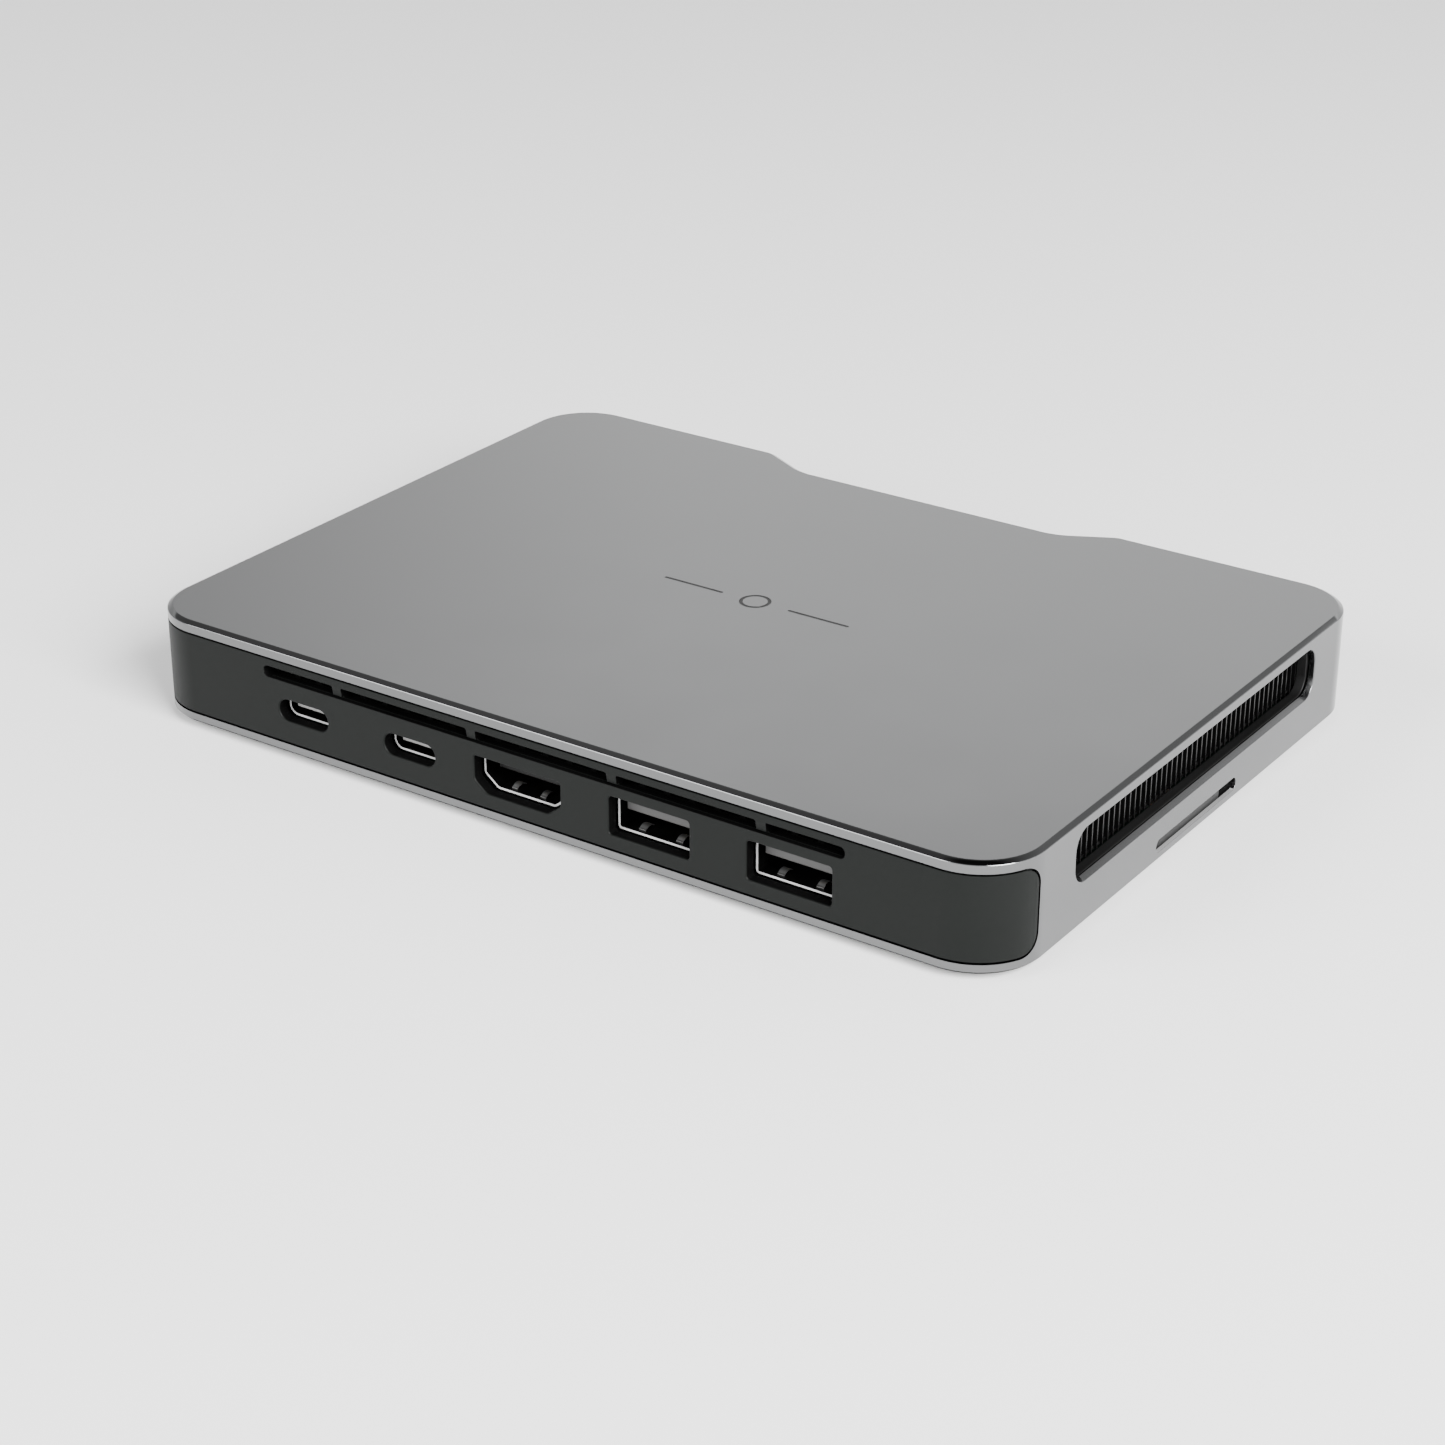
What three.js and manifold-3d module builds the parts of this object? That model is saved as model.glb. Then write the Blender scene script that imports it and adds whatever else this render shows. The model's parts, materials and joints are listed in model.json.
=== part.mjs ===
// A slim laptop docking station: a hollow aluminium shell, a wraparound port bezel, a blower
// that draws air in over the ports and pushes it out through a fin stack, and a sprung button.
// Millimetres, +Z up. The ports face -Y, the exhaust and the button face +X. The origin is
// under the middle of the case, on the surface that the feet stand on.
import * as THREE from 'three';
import { mergeVertices } from 'three/addons/utils/BufferGeometryUtils.js';
import Module from 'manifold-3d';

const wasm = await Module();
wasm.setup();

// ---------------------------------------------------------------- driving dimensions
const CASE_W = 146;               // along X
const CASE_D = 105.8;             // along Y
const CASE_H = 16;                // shell height, without the feet
const FOOT_H = 1.2;               // how far the case stands off the table
const CORNER_R = 9.8;             // vertical corners, in plan
const TOP_CHAMFER = [0.8, 0.4];   // across, down
const BOTTOM_CHAMFER = 0.35;
const WALL = 2;                   // side and back walls
const TOP_T = 1.3;                // top plate
const COVER_T = 1.4;              // bottom cover

const NOTCH_DEPTH = 4.45;         // finger notch in the back edge
const NOTCH_FLAT = 46.8;          // between the inner corners
const NOTCH_RUN = 8.5;            // how far each ramp runs along X
const NOTCH_R = [8, 3];           // inner and outer fillets

const BEZEL_T = 1.8;              // port bezel
const BEZEL_EDGES = [1.71, 1.94]; // metal and gap left below it and above it
const BEZEL_WRAP = 8.5;           // how far it runs back along each side
const BEZEL_END_R = 2.75;
const BACKING_T = 1.3;            // shell behind the bezel
const WINDOW_W = 108;             // opening through that backing
const WINDOW_EDGES = [2.5, 0.8];  // above the case bottom, below the top plate

const SLOT_H = 1.65;              // intake slots
const SLOT_DROP = 3.05;           // from the case top down to their upper edges
const SLOT_RIB = 1.55;
const SLOT_WIDTHS = [12.75, 22.5, 22.3, 22.4, 12.2];
const SLOT_X0 = -49;
const SLOT_END_R = 0.8;

const BOARD_Z = 2.6;              // underside of the board above the case bottom
const BOARD_T = 1.2;
const SHEET = 0.3;                // connector sheet metal
const SHELL_SETBACK = 0.4;        // connector front edge behind the back of the bezel
const PORT_CLEARANCE = 0.1;       // round each connector in the bezel
// Each tongue is [width, thickness], set back from the mouth and raised by lift above its middle;
// block is how thick the moulding at its root is.
const USB_C = {
  xs: [-41.95, -22.45], w: 8.94, h: 3.16, z: 6.75, deep: 7.5,
  tongue: [6.7, 0.7], back: 0.4, block: 1.6, riser: 2,
};
const USB_A = {
  xs: [18.55, 40.85], w: 13, h: 5.6, deep: 13.7,
  tongue: [11.1, 1.84], back: 0.7, lift: 0.95, block: 3,
};
const HDMI = {
  x: -3.53, w: 14.6, h: 5.2, deep: 10.8, shoulder: 1.85, foot: 9.9,
  tongue: [11.4, 0.8], back: 1.3, lift: 0.4, block: 2,
};
const CONNECTOR_R = 0.5;          // folded corners of the sheet metal
const SCREEN = { t: 0.4, end: 1, bars: 1, openings: 26, edge: 0.8 };   // dust screen

const VENT = { y: 0.65, w: 71.2, z: 6.4, drop: 1.74, r: 2.75, rim: 0.9 };
const VENT_LIP = 0.3;             // how far the frame stands inside the vent
const FRAME_BORDER = [1.1, 0.45]; // frame outside its mouth: along the sides and below, above
const FRAME_DEPTH = 1.4;
const FIN_PITCH = 1.5;
const FIN_T = 0.3;
const FIN_DEPTH = 8.7;
const FIN_PLATE = 0.4;

const BUTTON = { y: 0.05, w: 23.9, h: 1.93, z: 2.26, gap: 0.2, sink: 0.5, flange: 0.8, reach: 1.2 };
const LIGHT_W = 4.1;              // status light, at the back end of the button's slot
const BUTTON_TRAVEL = 0.4;
const SWITCH = { d: 4.4, w: 6, z: [1.72, 4.6], plunger: 1, pocket: 2, gap: 0.9 };

const FAN = { r: 22, cutoff: 24, last: 30, z: 6.2, drop: 1.8, floor: 0.8, wall: 2.2, reach: 34.5 };
const FAN_OFFSET = 0.35;          // from the vent's middle to the wheel's axis, along Y
const OUTLET_EDGE = 3.25;         // how much further the vent reaches than the blower's outlet
const FAN_COVER_T = 0.6;
const INLET_R = 15;
const HUB = { r: 9, wall: 0.8, seat: 2.4, post: 1.8, postH: 2.4, shaft: 0.75, running: 0.07 };
const BLADES = 29;
const BLADE_T = 0.6;
const BLADE_CURVE = { bend: 0.55, lean: 3, root: 0.4, ease: 0.8 };   // share of length, then mm
const ROTOR = { air: 0.7, discT: 0.6, discSpare: 1 };
const VOLUTE_STEPS = 28;
const FAN_BACK_CUT = 2.4;         // how much the housing's back is drawn in towards the wheel
const FAN_CORNER_R = [5, 1];      // back and front corners of the housing
const FAN_EAR = { in: 5.5, out: 1.2, past: 1, rim: 0.4 };
const INLET_SPOKES = 3;
const SPOKE_W = 2;

const CHIP = { x: -32, y: 14, w: 17, t: 0.8 };
const PAD_T = 0.3;
const PLATE = { w: 34, t: 0.8 };
const PLATE_SCREW_EDGE = 3;
const PIPE = { w: 5, t: 1.8, bend: 7, clear: 2.7, ends: 4 };
const REST = 0.1;                 // between flat pieces that lie on each other
const GAP = 0.3;                  // between pieces that are cut to each other

const BOSS_R = 2.5;
const SCREW_R = 0.9;
const HEAD_R = 1.9;
const HEAD_T = 0.75;
const HEAD_EDGE = 0.2;            // chamfer round a screw head
const SCREW_L = 6;
const SCREW_GAP = 0.2;
const PILOT_GAP = 0.1;
const PILOT_TOPS = { cover: 8, board: 9 };   // where the blind pilot holes end
const COVER_BOSS_EDGE = { x: 8.8, front: 11.9, back: 8.3 };   // in from the case's edges
const BOARD_BOSS_EDGE = { x: 17.5, front: 12.4, notch: 16.1, back: 6.3 };

const FOOT = { w: 16, d: 5.5, edgeX: 23, edgeY: 11.9, seat: 0.5 };

// ---------------------------------------------------------------- derived places
const HALF_W = CASE_W / 2;
const HALF_D = CASE_D / 2;
const BASE = FOOT_H;                                  // case bottom above the table
const up = (z) => BASE + z;                           // heights are given above the case bottom
const CEILING = CASE_H - TOP_T;
const BEZEL_Z = [BEZEL_EDGES[0], CASE_H - BEZEL_EDGES[1]];
const WINDOW_Z = [WINDOW_EDGES[0], CEILING - WINDOW_EDGES[1]];
const SLOT_Z = [CASE_H - SLOT_DROP - SLOT_H, CASE_H - SLOT_DROP];
const BOARD_TOP = BOARD_Z + BOARD_T;
const FACE_Y = -HALF_D;
const FRONT_INSET = BEZEL_T + GAP + BACKING_T;
const CONNECTOR_Y = FACE_Y + BEZEL_T + SHELL_SETBACK;
const PIPE_Z = BOARD_TOP + REST + CHIP.t + REST + PAD_T + REST + PLATE.t + REST;
const FRAME_X = HALF_W - VENT.rim - GAP;              // outer face of the vent frame
const FIN_X = FRAME_X - FRAME_DEPTH - REST;           // front edges of the fins
const INNER_X = HALF_W - WALL;
const VENT_Z = [VENT.z, CASE_H - VENT.drop];
const FAN_Z = [FAN.z, CEILING - FAN.drop];
const FAN_FRONT = FIN_X - FIN_DEPTH - REST;
const FAN_X = FAN_FRONT - FAN.reach;
const FAN_Y = VENT.y + FAN_OFFSET;
const OUTLET_Y = [FAN_Y - FAN.last, VENT.y + VENT.w / 2 - OUTLET_EDGE];
const FAN_SIDE = [OUTLET_Y[0] - FAN.wall, OUTLET_Y[1] + FAN.wall];   // outer faces of the housing
const FAN_BACK_X = FAN_X - FAN.last - FAN.wall + FAN_BACK_CUT;
const PIPE_Y = FAN_SIDE[1] + PIPE.clear + PIPE.w / 2;
const LIGHT_Y = BUTTON.y + BUTTON.w / 2 - LIGHT_W;     // where the light starts
const SWITCH_Y = (BUTTON.y - BUTTON.w / 2 + LIGHT_Y) / 2;

// ---------------------------------------------------------------- outlines
// Corners are [x, y, radius]; the result goes round them, in finer steps on a wider corner.
const stepAt = (r) => Math.PI / (r > 4 ? 18 : r > 1.5 ? 10 : 6);

function rounded(corners) {
  const points = [];
  corners.forEach(([x, y, r], i) => {
    const here = new THREE.Vector2(x, y);
    const from = new THREE.Vector2(...corners.at(i - 1).slice(0, 2)).sub(here).normalize();
    const to = new THREE.Vector2(...corners[(i + 1) % corners.length].slice(0, 2)).sub(here).normalize();
    if (!r) {
      points.push(here);
      return;
    }
    const half = Math.acos(THREE.MathUtils.clamp(from.dot(to), -1, 1)) / 2;
    const centre = from.clone().add(to).normalize().multiplyScalar(r / Math.sin(half)).add(here);
    const start = here.clone().addScaledVector(from, r / Math.tan(half)).sub(centre);
    const sweep = Math.PI - 2 * half;
    const turn = Math.sign(to.cross(from)) * -Math.sign(sweep);
    const steps = Math.max(2, Math.round(sweep / stepAt(r)));
    for (let k = 0; k <= steps; k += 1) {
      points.push(start.clone().rotateAround(new THREE.Vector2(), -turn * sweep * k / steps).add(centre));
    }
  });
  return points;
}

// Moves every side of a counter-clockwise outline inwards. Outer corners get tighter and inner
// corners get wider, so the wall between two of these outlines has one thickness all round.
function inset(corners, distance) {
  const count = corners.length;
  const sides = corners.map(([x, y], i) => {
    const [nx, ny] = corners[(i + 1) % count];
    const along = new THREE.Vector2(nx - x, ny - y).normalize();
    const normal = new THREE.Vector2(-along.y, along.x);
    return { along, normal, from: new THREE.Vector2(x, y).addScaledVector(normal, distance) };
  });
  return corners.map(([, , r], i) => {
    const before = sides.at(i - 1);
    const after = sides[i];
    const spread = before.along.cross(after.along);
    const t = after.from.clone().sub(before.from).cross(after.along) / spread;
    const p = before.from.clone().addScaledVector(before.along, t);
    const radius = spread > 0 ? Math.max(r - distance, r ? 0.4 : 0) : r + (r ? distance : 0);
    return [p.x, p.y, radius];
  });
}

function rectangle(x0, x1, y0, y1, r = 0) {
  return [[x0, y0, r], [x1, y0, r], [x1, y1, r], [x0, y1, r]];
}

const centred = (x, y, w, h, r = 0) => rectangle(x - w / 2, x + w / 2, y - h / 2, y + h / 2, r);

const notchIn = NOTCH_FLAT / 2;
const notchOut = notchIn + NOTCH_RUN;
const caseOutline = [
  [HALF_W, -HALF_D, CORNER_R],
  [HALF_W, HALF_D, CORNER_R],
  [notchOut, HALF_D, NOTCH_R[1]],
  [notchIn, HALF_D - NOTCH_DEPTH, NOTCH_R[0]],
  [-notchIn, HALF_D - NOTCH_DEPTH, NOTCH_R[0]],
  [-notchOut, HALF_D, NOTCH_R[1]],
  [-HALF_W, HALF_D, CORNER_R],
  [-HALF_W, -HALF_D, CORNER_R],
];

// ---------------------------------------------------------------- solids
const AXES = {
  z: new THREE.Matrix4(),
  y: new THREE.Matrix4().makeBasis(
    new THREE.Vector3(1, 0, 0), new THREE.Vector3(0, 0, 1), new THREE.Vector3(0, -1, 0)),
  x: new THREE.Matrix4().makeBasis(
    new THREE.Vector3(0, 1, 0), new THREE.Vector3(0, 0, 1), new THREE.Vector3(1, 0, 0)),
};

function manifold(geometry) {
  const bare = geometry.index ? geometry.toNonIndexed() : geometry.clone();
  bare.deleteAttribute('normal');
  bare.deleteAttribute('uv');
  const merged = mergeVertices(bare, 1e-4);
  const mesh = new wasm.Mesh({
    numProp: 3,
    vertProperties: new Float32Array(merged.attributes.position.array),
    triVerts: new Uint32Array(merged.index.array),
  });
  mesh.merge();
  return new wasm.Manifold(mesh);
}

// A prism of an outline between two places on an axis. On x the outline is (y, z), on y (x, z).
function prism(corners, from, to, axis = 'z') {
  const shape = new THREE.Shape(rounded(corners));
  const geometry = new THREE.ExtrudeGeometry(shape, { depth: to - from, bevelEnabled: false });
  geometry.applyMatrix4(AXES[axis]);
  const shift = { z: [0, 0, from], y: [0, to, 0], x: [from, 0, 0] }[axis];
  return manifold(geometry.translate(...shift));
}

function box(x0, x1, y0, y1, z0, z1) {
  const geometry = new THREE.BoxGeometry(x1 - x0, y1 - y0, z1 - z0);
  return manifold(geometry.translate((x0 + x1) / 2, (y0 + y1) / 2, (z0 + z1) / 2));
}

function rod(x, y, r, z0, z1, sides = 16) {
  const geometry = new THREE.CylinderGeometry(r, r, z1 - z0, sides).rotateX(Math.PI / 2);
  return manifold(geometry.translate(x, y, (z0 + z1) / 2));
}

// A turned piece from a closed profile of [radius, z].
function turned(profile, x = 0, y = 0, sides = 24) {
  const points = profile.map(([r, z]) => new THREE.Vector2(r, z));
  const geometry = new THREE.LatheGeometry(points, sides).rotateX(Math.PI / 2);
  return manifold(geometry.translate(x, y, 0));
}

const join = (first, ...rest) => rest.reduce((sum, part) => sum.add(part), first);
const cut = (first, ...rest) => rest.reduce((sum, part) => sum.subtract(part), first);

// A solid whose outline steps inwards at some heights: rings are [inset, z], from the bottom up.
function lofted(corners, rings) {
  const loops = rings.map(([distance, z]) => rounded(inset(corners, distance))
    .map((p) => new THREE.Vector3(p.x, p.y, z)));
  const count = loops[0].length;
  const positions = loops.flat().flatMap((p) => [p.x, p.y, p.z]);
  const index = [];
  loops.slice(1).forEach((loop, level) => {
    for (let i = 0; i < count; i += 1) {
      const a = level * count + i;
      const b = level * count + ((i + 1) % count);
      index.push(a, b, a + count, b, b + count, a + count);
    }
  });
  const flat = (loop) => loop.map((p) => new THREE.Vector2(p.x, p.y));
  const top = (loops.length - 1) * count;
  THREE.ShapeUtils.triangulateShape(flat(loops[0]), []).forEach(([a, b, c]) => index.push(a, c, b));
  THREE.ShapeUtils.triangulateShape(flat(loops.at(-1)), [])
    .forEach(([a, b, c]) => index.push(top + a, top + b, top + c));
  const geometry = new THREE.BufferGeometry();
  geometry.setAttribute('position', new THREE.Float32BufferAttribute(positions, 3));
  geometry.setIndex(index);
  return manifold(geometry);
}

const dock = new THREE.Group();

function add(name, solid, colour, roughness, metalness = 0) {
  const { numProp, vertProperties, triVerts } = solid.getMesh();
  const positions = new Float32Array(vertProperties.length / numProp * 3);
  for (let i = 0; i < positions.length / 3; i += 1) {
    positions.set(vertProperties.subarray(i * numProp, i * numProp + 3), i * 3);
  }
  const geometry = new THREE.BufferGeometry();
  geometry.setAttribute('position', new THREE.BufferAttribute(positions, 3));
  geometry.setIndex(new THREE.BufferAttribute(new Uint32Array(triVerts), 1));
  geometry.computeVertexNormals();
  const material = new THREE.MeshStandardMaterial({ color: colour, roughness, metalness });
  const mesh = new THREE.Mesh(geometry, material);
  mesh.name = name;
  dock.add(mesh);
}

const ALUMINIUM = ['#8f9192', 0.4, 1];
const BEZEL_GREY = ['#3b3c3b', 0.45, 0];
const BLACK_PLASTIC = ['#101112', 0.5, 0];
const PLATED = ['#a9aaab', 0.3, 1];
const COPPER = ['#b87347', 0.35, 1];
const STEEL = ['#7d7f81', 0.35, 1];
const BOARD_GREEN = ['#12382a', 0.5, 0];
const RUBBER = ['#1a1a1b', 0.9, 0];

// ---------------------------------------------------------------- port shapes
const usbAZ = BOARD_TOP + REST + USB_A.h / 2;
const hdmiZ = BOARD_TOP + REST + HDMI.h / 2;

// An outline with straight upper sides and lower corners cut off, as a video connector has.
function keyed(grow) {
  const w = HDMI.w / 2 + grow;
  const h = HDMI.h / 2 + grow;
  const foot = HDMI.foot / 2 + grow / 2;
  const z = up(hdmiZ);
  const shoulder = z - HDMI.h / 2 + HDMI.shoulder;
  return [
    [HDMI.x - foot, z - h, CONNECTOR_R], [HDMI.x + foot, z - h, CONNECTOR_R],
    [HDMI.x + w, shoulder, CONNECTOR_R], [HDMI.x + w, z + h, CONNECTOR_R],
    [HDMI.x - w, z + h, CONNECTOR_R], [HDMI.x - w, shoulder, CONNECTOR_R],
  ];
}

const usbA = (x, grow) => centred(x, up(usbAZ), USB_A.w + 2 * grow, USB_A.h + 2 * grow,
  CONNECTOR_R + grow);
const usbC = (x, grow) => centred(x, up(USB_C.z), USB_C.w + 2 * grow, USB_C.h + 2 * grow,
  USB_C.h / 2 + grow - 0.01);

// ---------------------------------------------------------------- port bezel
function bezelStrip(grow) {
  const reach = CASE_D;
  const ring = cut(
    prism(inset(caseOutline, grow ? -1 : 0), up(BEZEL_Z[0] - grow), up(BEZEL_Z[1] + grow)),
    prism(inset(caseOutline, BEZEL_T + grow), 0, up(CASE_H)));
  const sideView = rectangle(-reach, FACE_Y + BEZEL_WRAP + grow, up(BEZEL_Z[0] - grow),
    up(BEZEL_Z[1] + grow), BEZEL_END_R + grow);
  return ring.intersect(prism(sideView, -CASE_W, CASE_W, 'x'));
}

function intakeSlots() {
  let x = SLOT_X0;
  return SLOT_WIDTHS.map((width) => {
    const slot = prism(rectangle(x, x + width, up(SLOT_Z[0]), up(SLOT_Z[1]), SLOT_END_R),
      FACE_Y - 1, FACE_Y + BEZEL_T + 1, 'y');
    x += width + SLOT_RIB;
    return slot;
  });
}

function portBezel() {
  const through = (corners) => prism(corners, FACE_Y - 1, FACE_Y + BEZEL_T + 1, 'y');
  return cut(
    bezelStrip(0),
    ...intakeSlots(),
    ...USB_C.xs.map((x) => through(usbC(x, PORT_CLEARANCE))),
    ...USB_A.xs.map((x) => through(usbA(x, PORT_CLEARANCE))),
    through(keyed(PORT_CLEARANCE)));
}

add('port_bezel', portBezel(), ...BEZEL_GREY);

// ---------------------------------------------------------------- top shell
const mirrored = (places) => places.flatMap(([x, y]) => [[x, y], [-x, y]]);
const coverBosses = mirrored([
  [HALF_W - COVER_BOSS_EDGE.x, COVER_BOSS_EDGE.front - HALF_D],
  [HALF_W - COVER_BOSS_EDGE.x, HALF_D - COVER_BOSS_EDGE.back],
]);
const boardBosses = mirrored([
  [HALF_W - BOARD_BOSS_EDGE.x, BOARD_BOSS_EDGE.front - HALF_D],
  [notchOut + BOARD_BOSS_EDGE.notch, HALF_D - BOARD_BOSS_EDGE.back],
]);
// Two screws pass through the housing's back corners and one through an ear outside its wall.
const fanEars = [
  [FAN_BACK_X + FAN_EAR.in, FAN_SIDE[0] + FAN_EAR.in],
  [FAN_BACK_X + FAN_EAR.in, FAN_SIDE[1] - FAN_EAR.in],
  [FAN_X + FAN.r + FAN_EAR.past, FAN_SIDE[0] - FAN_EAR.out],
];
const FAN_TOP = FAN_Z[1] + REST + FAN_COVER_T;

// The inside of the shell, less a margin: it keeps to the wall on three sides and leaves room for
// the bezel and its backing at the front and round the front corners.
function inside(margin, z0, z1) {
  const wide = prism(inset(caseOutline, WALL + margin), z0, z1);
  const padY = FACE_Y + BEZEL_WRAP + 2 * GAP + BACKING_T + margin;
  const back = box(-CASE_W, CASE_W, padY, CASE_D, z0 - 1, z1 + 1);
  return join(wide.intersect(back), prism(inset(caseOutline, FRONT_INSET + margin), z0, z1));
}

function boss([x, y], r, bottom) {
  return rod(x, y, r, up(bottom), up(CEILING + 0.2));
}

const pilot = ([x, y], bottom, top) =>
  rod(x, y, SCREW_R + PILOT_GAP, up(bottom - 1), up(top), 12);

function topShell() {
  const block = lofted(caseOutline, [
    [BOTTOM_CHAMFER, up(0)], [0, up(BOTTOM_CHAMFER)],
    [0, up(CASE_H - TOP_CHAMFER[1])], [TOP_CHAMFER[0], up(CASE_H)],
  ]);
  const ventMouth = prism(
    rectangle(VENT.y - VENT.w / 2, VENT.y + VENT.w / 2, up(VENT_Z[0]), up(VENT_Z[1]), VENT.r),
    INNER_X - 1, HALF_W + 1, 'x');
  const ventPocket = box(INNER_X - 1, HALF_W - VENT.rim, frameY[0] - GAP, frameY[1] + GAP,
    up(frameZ[0] - GAP), up(CEILING));
  const buttonSlot = prism(centred(BUTTON.y, up(BUTTON.z), BUTTON.w, BUTTON.h, BUTTON.h / 2 - 0.01),
    INNER_X - 1, HALF_W + 1, 'x');
  const window = box(-WINDOW_W / 2, WINDOW_W / 2, FACE_Y, FACE_Y + FRONT_INSET + 1,
    up(WINDOW_Z[0]), up(WINDOW_Z[1]));
  const shell = cut(block, inside(0, up(-1), up(CEILING)), bezelStrip(GAP), window, ventMouth,
    ventPocket, buttonSlot);
  return cut(
    join(
      shell,
      ...coverBosses.map((at) => boss(at, BOSS_R, COVER_T + GAP)),
      ...boardBosses.map((at) => boss(at, BOSS_R, BOARD_TOP + REST)),
      ...fanEars.map((at) => boss(at, BOSS_R, FAN_TOP + REST))),
    ...coverBosses.map((at) => pilot(at, COVER_T + GAP, PILOT_TOPS.cover)),
    ...boardBosses.map((at) => pilot(at, BOARD_TOP, PILOT_TOPS.board)),
    ...fanEars.map((at) => pilot(at, FAN_TOP, CEILING + 0.5)));
}

// ---------------------------------------------------------------- exhaust
const mouthY = [VENT.y - VENT.w / 2 + VENT_LIP, VENT.y + VENT.w / 2 - VENT_LIP];
const mouthZ = [VENT_Z[0] + VENT_LIP, VENT_Z[1] - VENT_LIP];
const frameY = [mouthY[0] - FRAME_BORDER[0], mouthY[1] + FRAME_BORDER[0]];
const frameZ = [mouthZ[0] - FRAME_BORDER[0], mouthZ[1] + FRAME_BORDER[1]];

function ventFrame() {
  const outer = box(FRAME_X - FRAME_DEPTH, FRAME_X, ...frameY, up(frameZ[0]), up(frameZ[1]));
  const mouth = prism(rectangle(...mouthY, up(mouthZ[0]), up(mouthZ[1]), VENT.r - VENT_LIP),
    FRAME_X - FRAME_DEPTH - 1, FRAME_X + 1, 'x');
  return cut(outer, mouth);
}

// Upright fins between a floor and a roof plate, with a groove below for the heat pipe.
function finStack() {
  const [y0, y1] = mouthY;
  const [z0, z1] = mouthZ;
  const x0 = FIN_X - FIN_DEPTH;
  const channels = Math.floor((y1 - y0 - FIN_T) / FIN_PITCH);
  const pitch = (y1 - y0 - FIN_T) / channels;
  const block = box(x0, FIN_X, y0, y1, up(z0), up(z1));
  const air = Array.from({ length: channels }, (_, i) => {
    const from = y0 + FIN_T + i * pitch;
    return box(x0 - 1, FIN_X + 1, from, from + pitch - FIN_T, up(z0 + FIN_PLATE), up(z1 - FIN_PLATE));
  });
  const groove = box(x0 - 1, pipeX + PIPE.w / 2 + GAP, y0 - 1, y1 + 1, up(0), up(PIPE_Z + PIPE.t + GAP));
  const floor = box(pipeX + PIPE.w / 2 + GAP, FIN_X, y0, y1, up(z0), up(z0 + FIN_PLATE));
  const step = box(x0, pipeX + PIPE.w / 2 + GAP + FIN_PLATE, y0, y1,
    up(PIPE_Z + PIPE.t + GAP), up(PIPE_Z + PIPE.t + GAP + FIN_PLATE));
  return join(cut(block, ...air, groove), floor, step);
}

const pipeX = FIN_X - FIN_DEPTH + PIPE.w / 2 + 0.2;

add('top_shell', topShell(), ...ALUMINIUM);
add('vent_frame', ventFrame(), ...BLACK_PLASTIC);
add('fin_stack', finStack(), ...ALUMINIUM);

// A flattened tube from over the main chip, round the back of the blower, to under the fins.
function heatPipe() {
  const b = PIPE.bend;
  const z = up(PIPE_Z + PIPE.t / 2);
  const at = (x, y) => new THREE.Vector3(x, y, z);
  const path = new THREE.CurvePath();
  const line = (from, to) => path.add(new THREE.LineCurve3(from, to));
  const bend = (from, corner, to) => path.add(new THREE.QuadraticBezierCurve3(from, corner, to));
  const startX = CHIP.x - PLATE.w / 2 + PIPE.ends;
  const turnX = CHIP.x + PLATE.w / 2 + b;
  line(at(startX, CHIP.y), at(turnX - b, CHIP.y));
  bend(at(turnX - b, CHIP.y), at(turnX, CHIP.y), at(turnX, CHIP.y + b));
  line(at(turnX, CHIP.y + b), at(turnX, PIPE_Y - b));
  bend(at(turnX, PIPE_Y - b), at(turnX, PIPE_Y), at(turnX + b, PIPE_Y));
  line(at(turnX + b, PIPE_Y), at(pipeX - b, PIPE_Y));
  bend(at(pipeX - b, PIPE_Y), at(pipeX, PIPE_Y), at(pipeX, PIPE_Y - b));
  line(at(pipeX, PIPE_Y - b), at(pipeX, mouthY[0] + PIPE.ends));
  const [t, w] = [PIPE.t / 2, PIPE.w / 2];
  const section = new THREE.Shape([[t / 2, -w], [t, t / 2 - w], [t, w - t / 2], [t / 2, w],
    [-t / 2, w], [-t, w - t / 2], [-t, t / 2 - w], [-t / 2, -w]].map((p) => new THREE.Vector2(...p)));
  return manifold(new THREE.ExtrudeGeometry(section, { steps: 48, extrudePath: path }));
}

add('heat_pipe', heatPipe(), ...COPPER);

// ---------------------------------------------------------------- board and chips
const insideInset = WALL + 1.2;

const boardOutline = inset(caseOutline, insideInset);

function mainBoard() {
  const z = [up(BOARD_Z), up(BOARD_TOP)];
  const keep = BOSS_R + 1;
  const plate = prism(boardOutline, ...z);
  const trims = coverBosses.map(([x, y]) => box(
    Math.min(x, Math.sign(x) * HALF_W) - keep, Math.max(x, Math.sign(x) * HALF_W) + keep,
    Math.min(y, Math.sign(y) * HALF_D) - keep, Math.max(y, Math.sign(y) * HALF_D) + keep,
    z[0] - 1, z[1] + 1));
  const front = box(-CASE_W, CASE_W, -CASE_D, FACE_Y + FRONT_INSET + 1, z[0] - 1, z[1] + 1);
  const switchBay = box(switchX[0] - REST, CASE_W, SWITCH_Y - SWITCH.w / 2 - REST,
    SWITCH_Y + SWITCH.w / 2 + REST, z[0] - 1, z[1] + 1);
  const holes = [...boardBosses, ...plateCorners].map(([x, y]) =>
    rod(x, y, SCREW_R + SCREW_GAP, z[0] - 1, z[1] + 1, 16));
  return cut(plate, front, ...trims, switchBay, buttonRoom(z[0] - 1, z[1] + 1), ...holes);
}

const plateCorners = [[-1, -1], [1, -1], [-1, 1], [1, 1]].map(([sx, sy]) =>
  [CHIP.x + sx * (PLATE.w / 2 - PLATE_SCREW_EDGE), CHIP.y + sy * (PLATE.w / 2 - PLATE_SCREW_EDGE)]);

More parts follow.
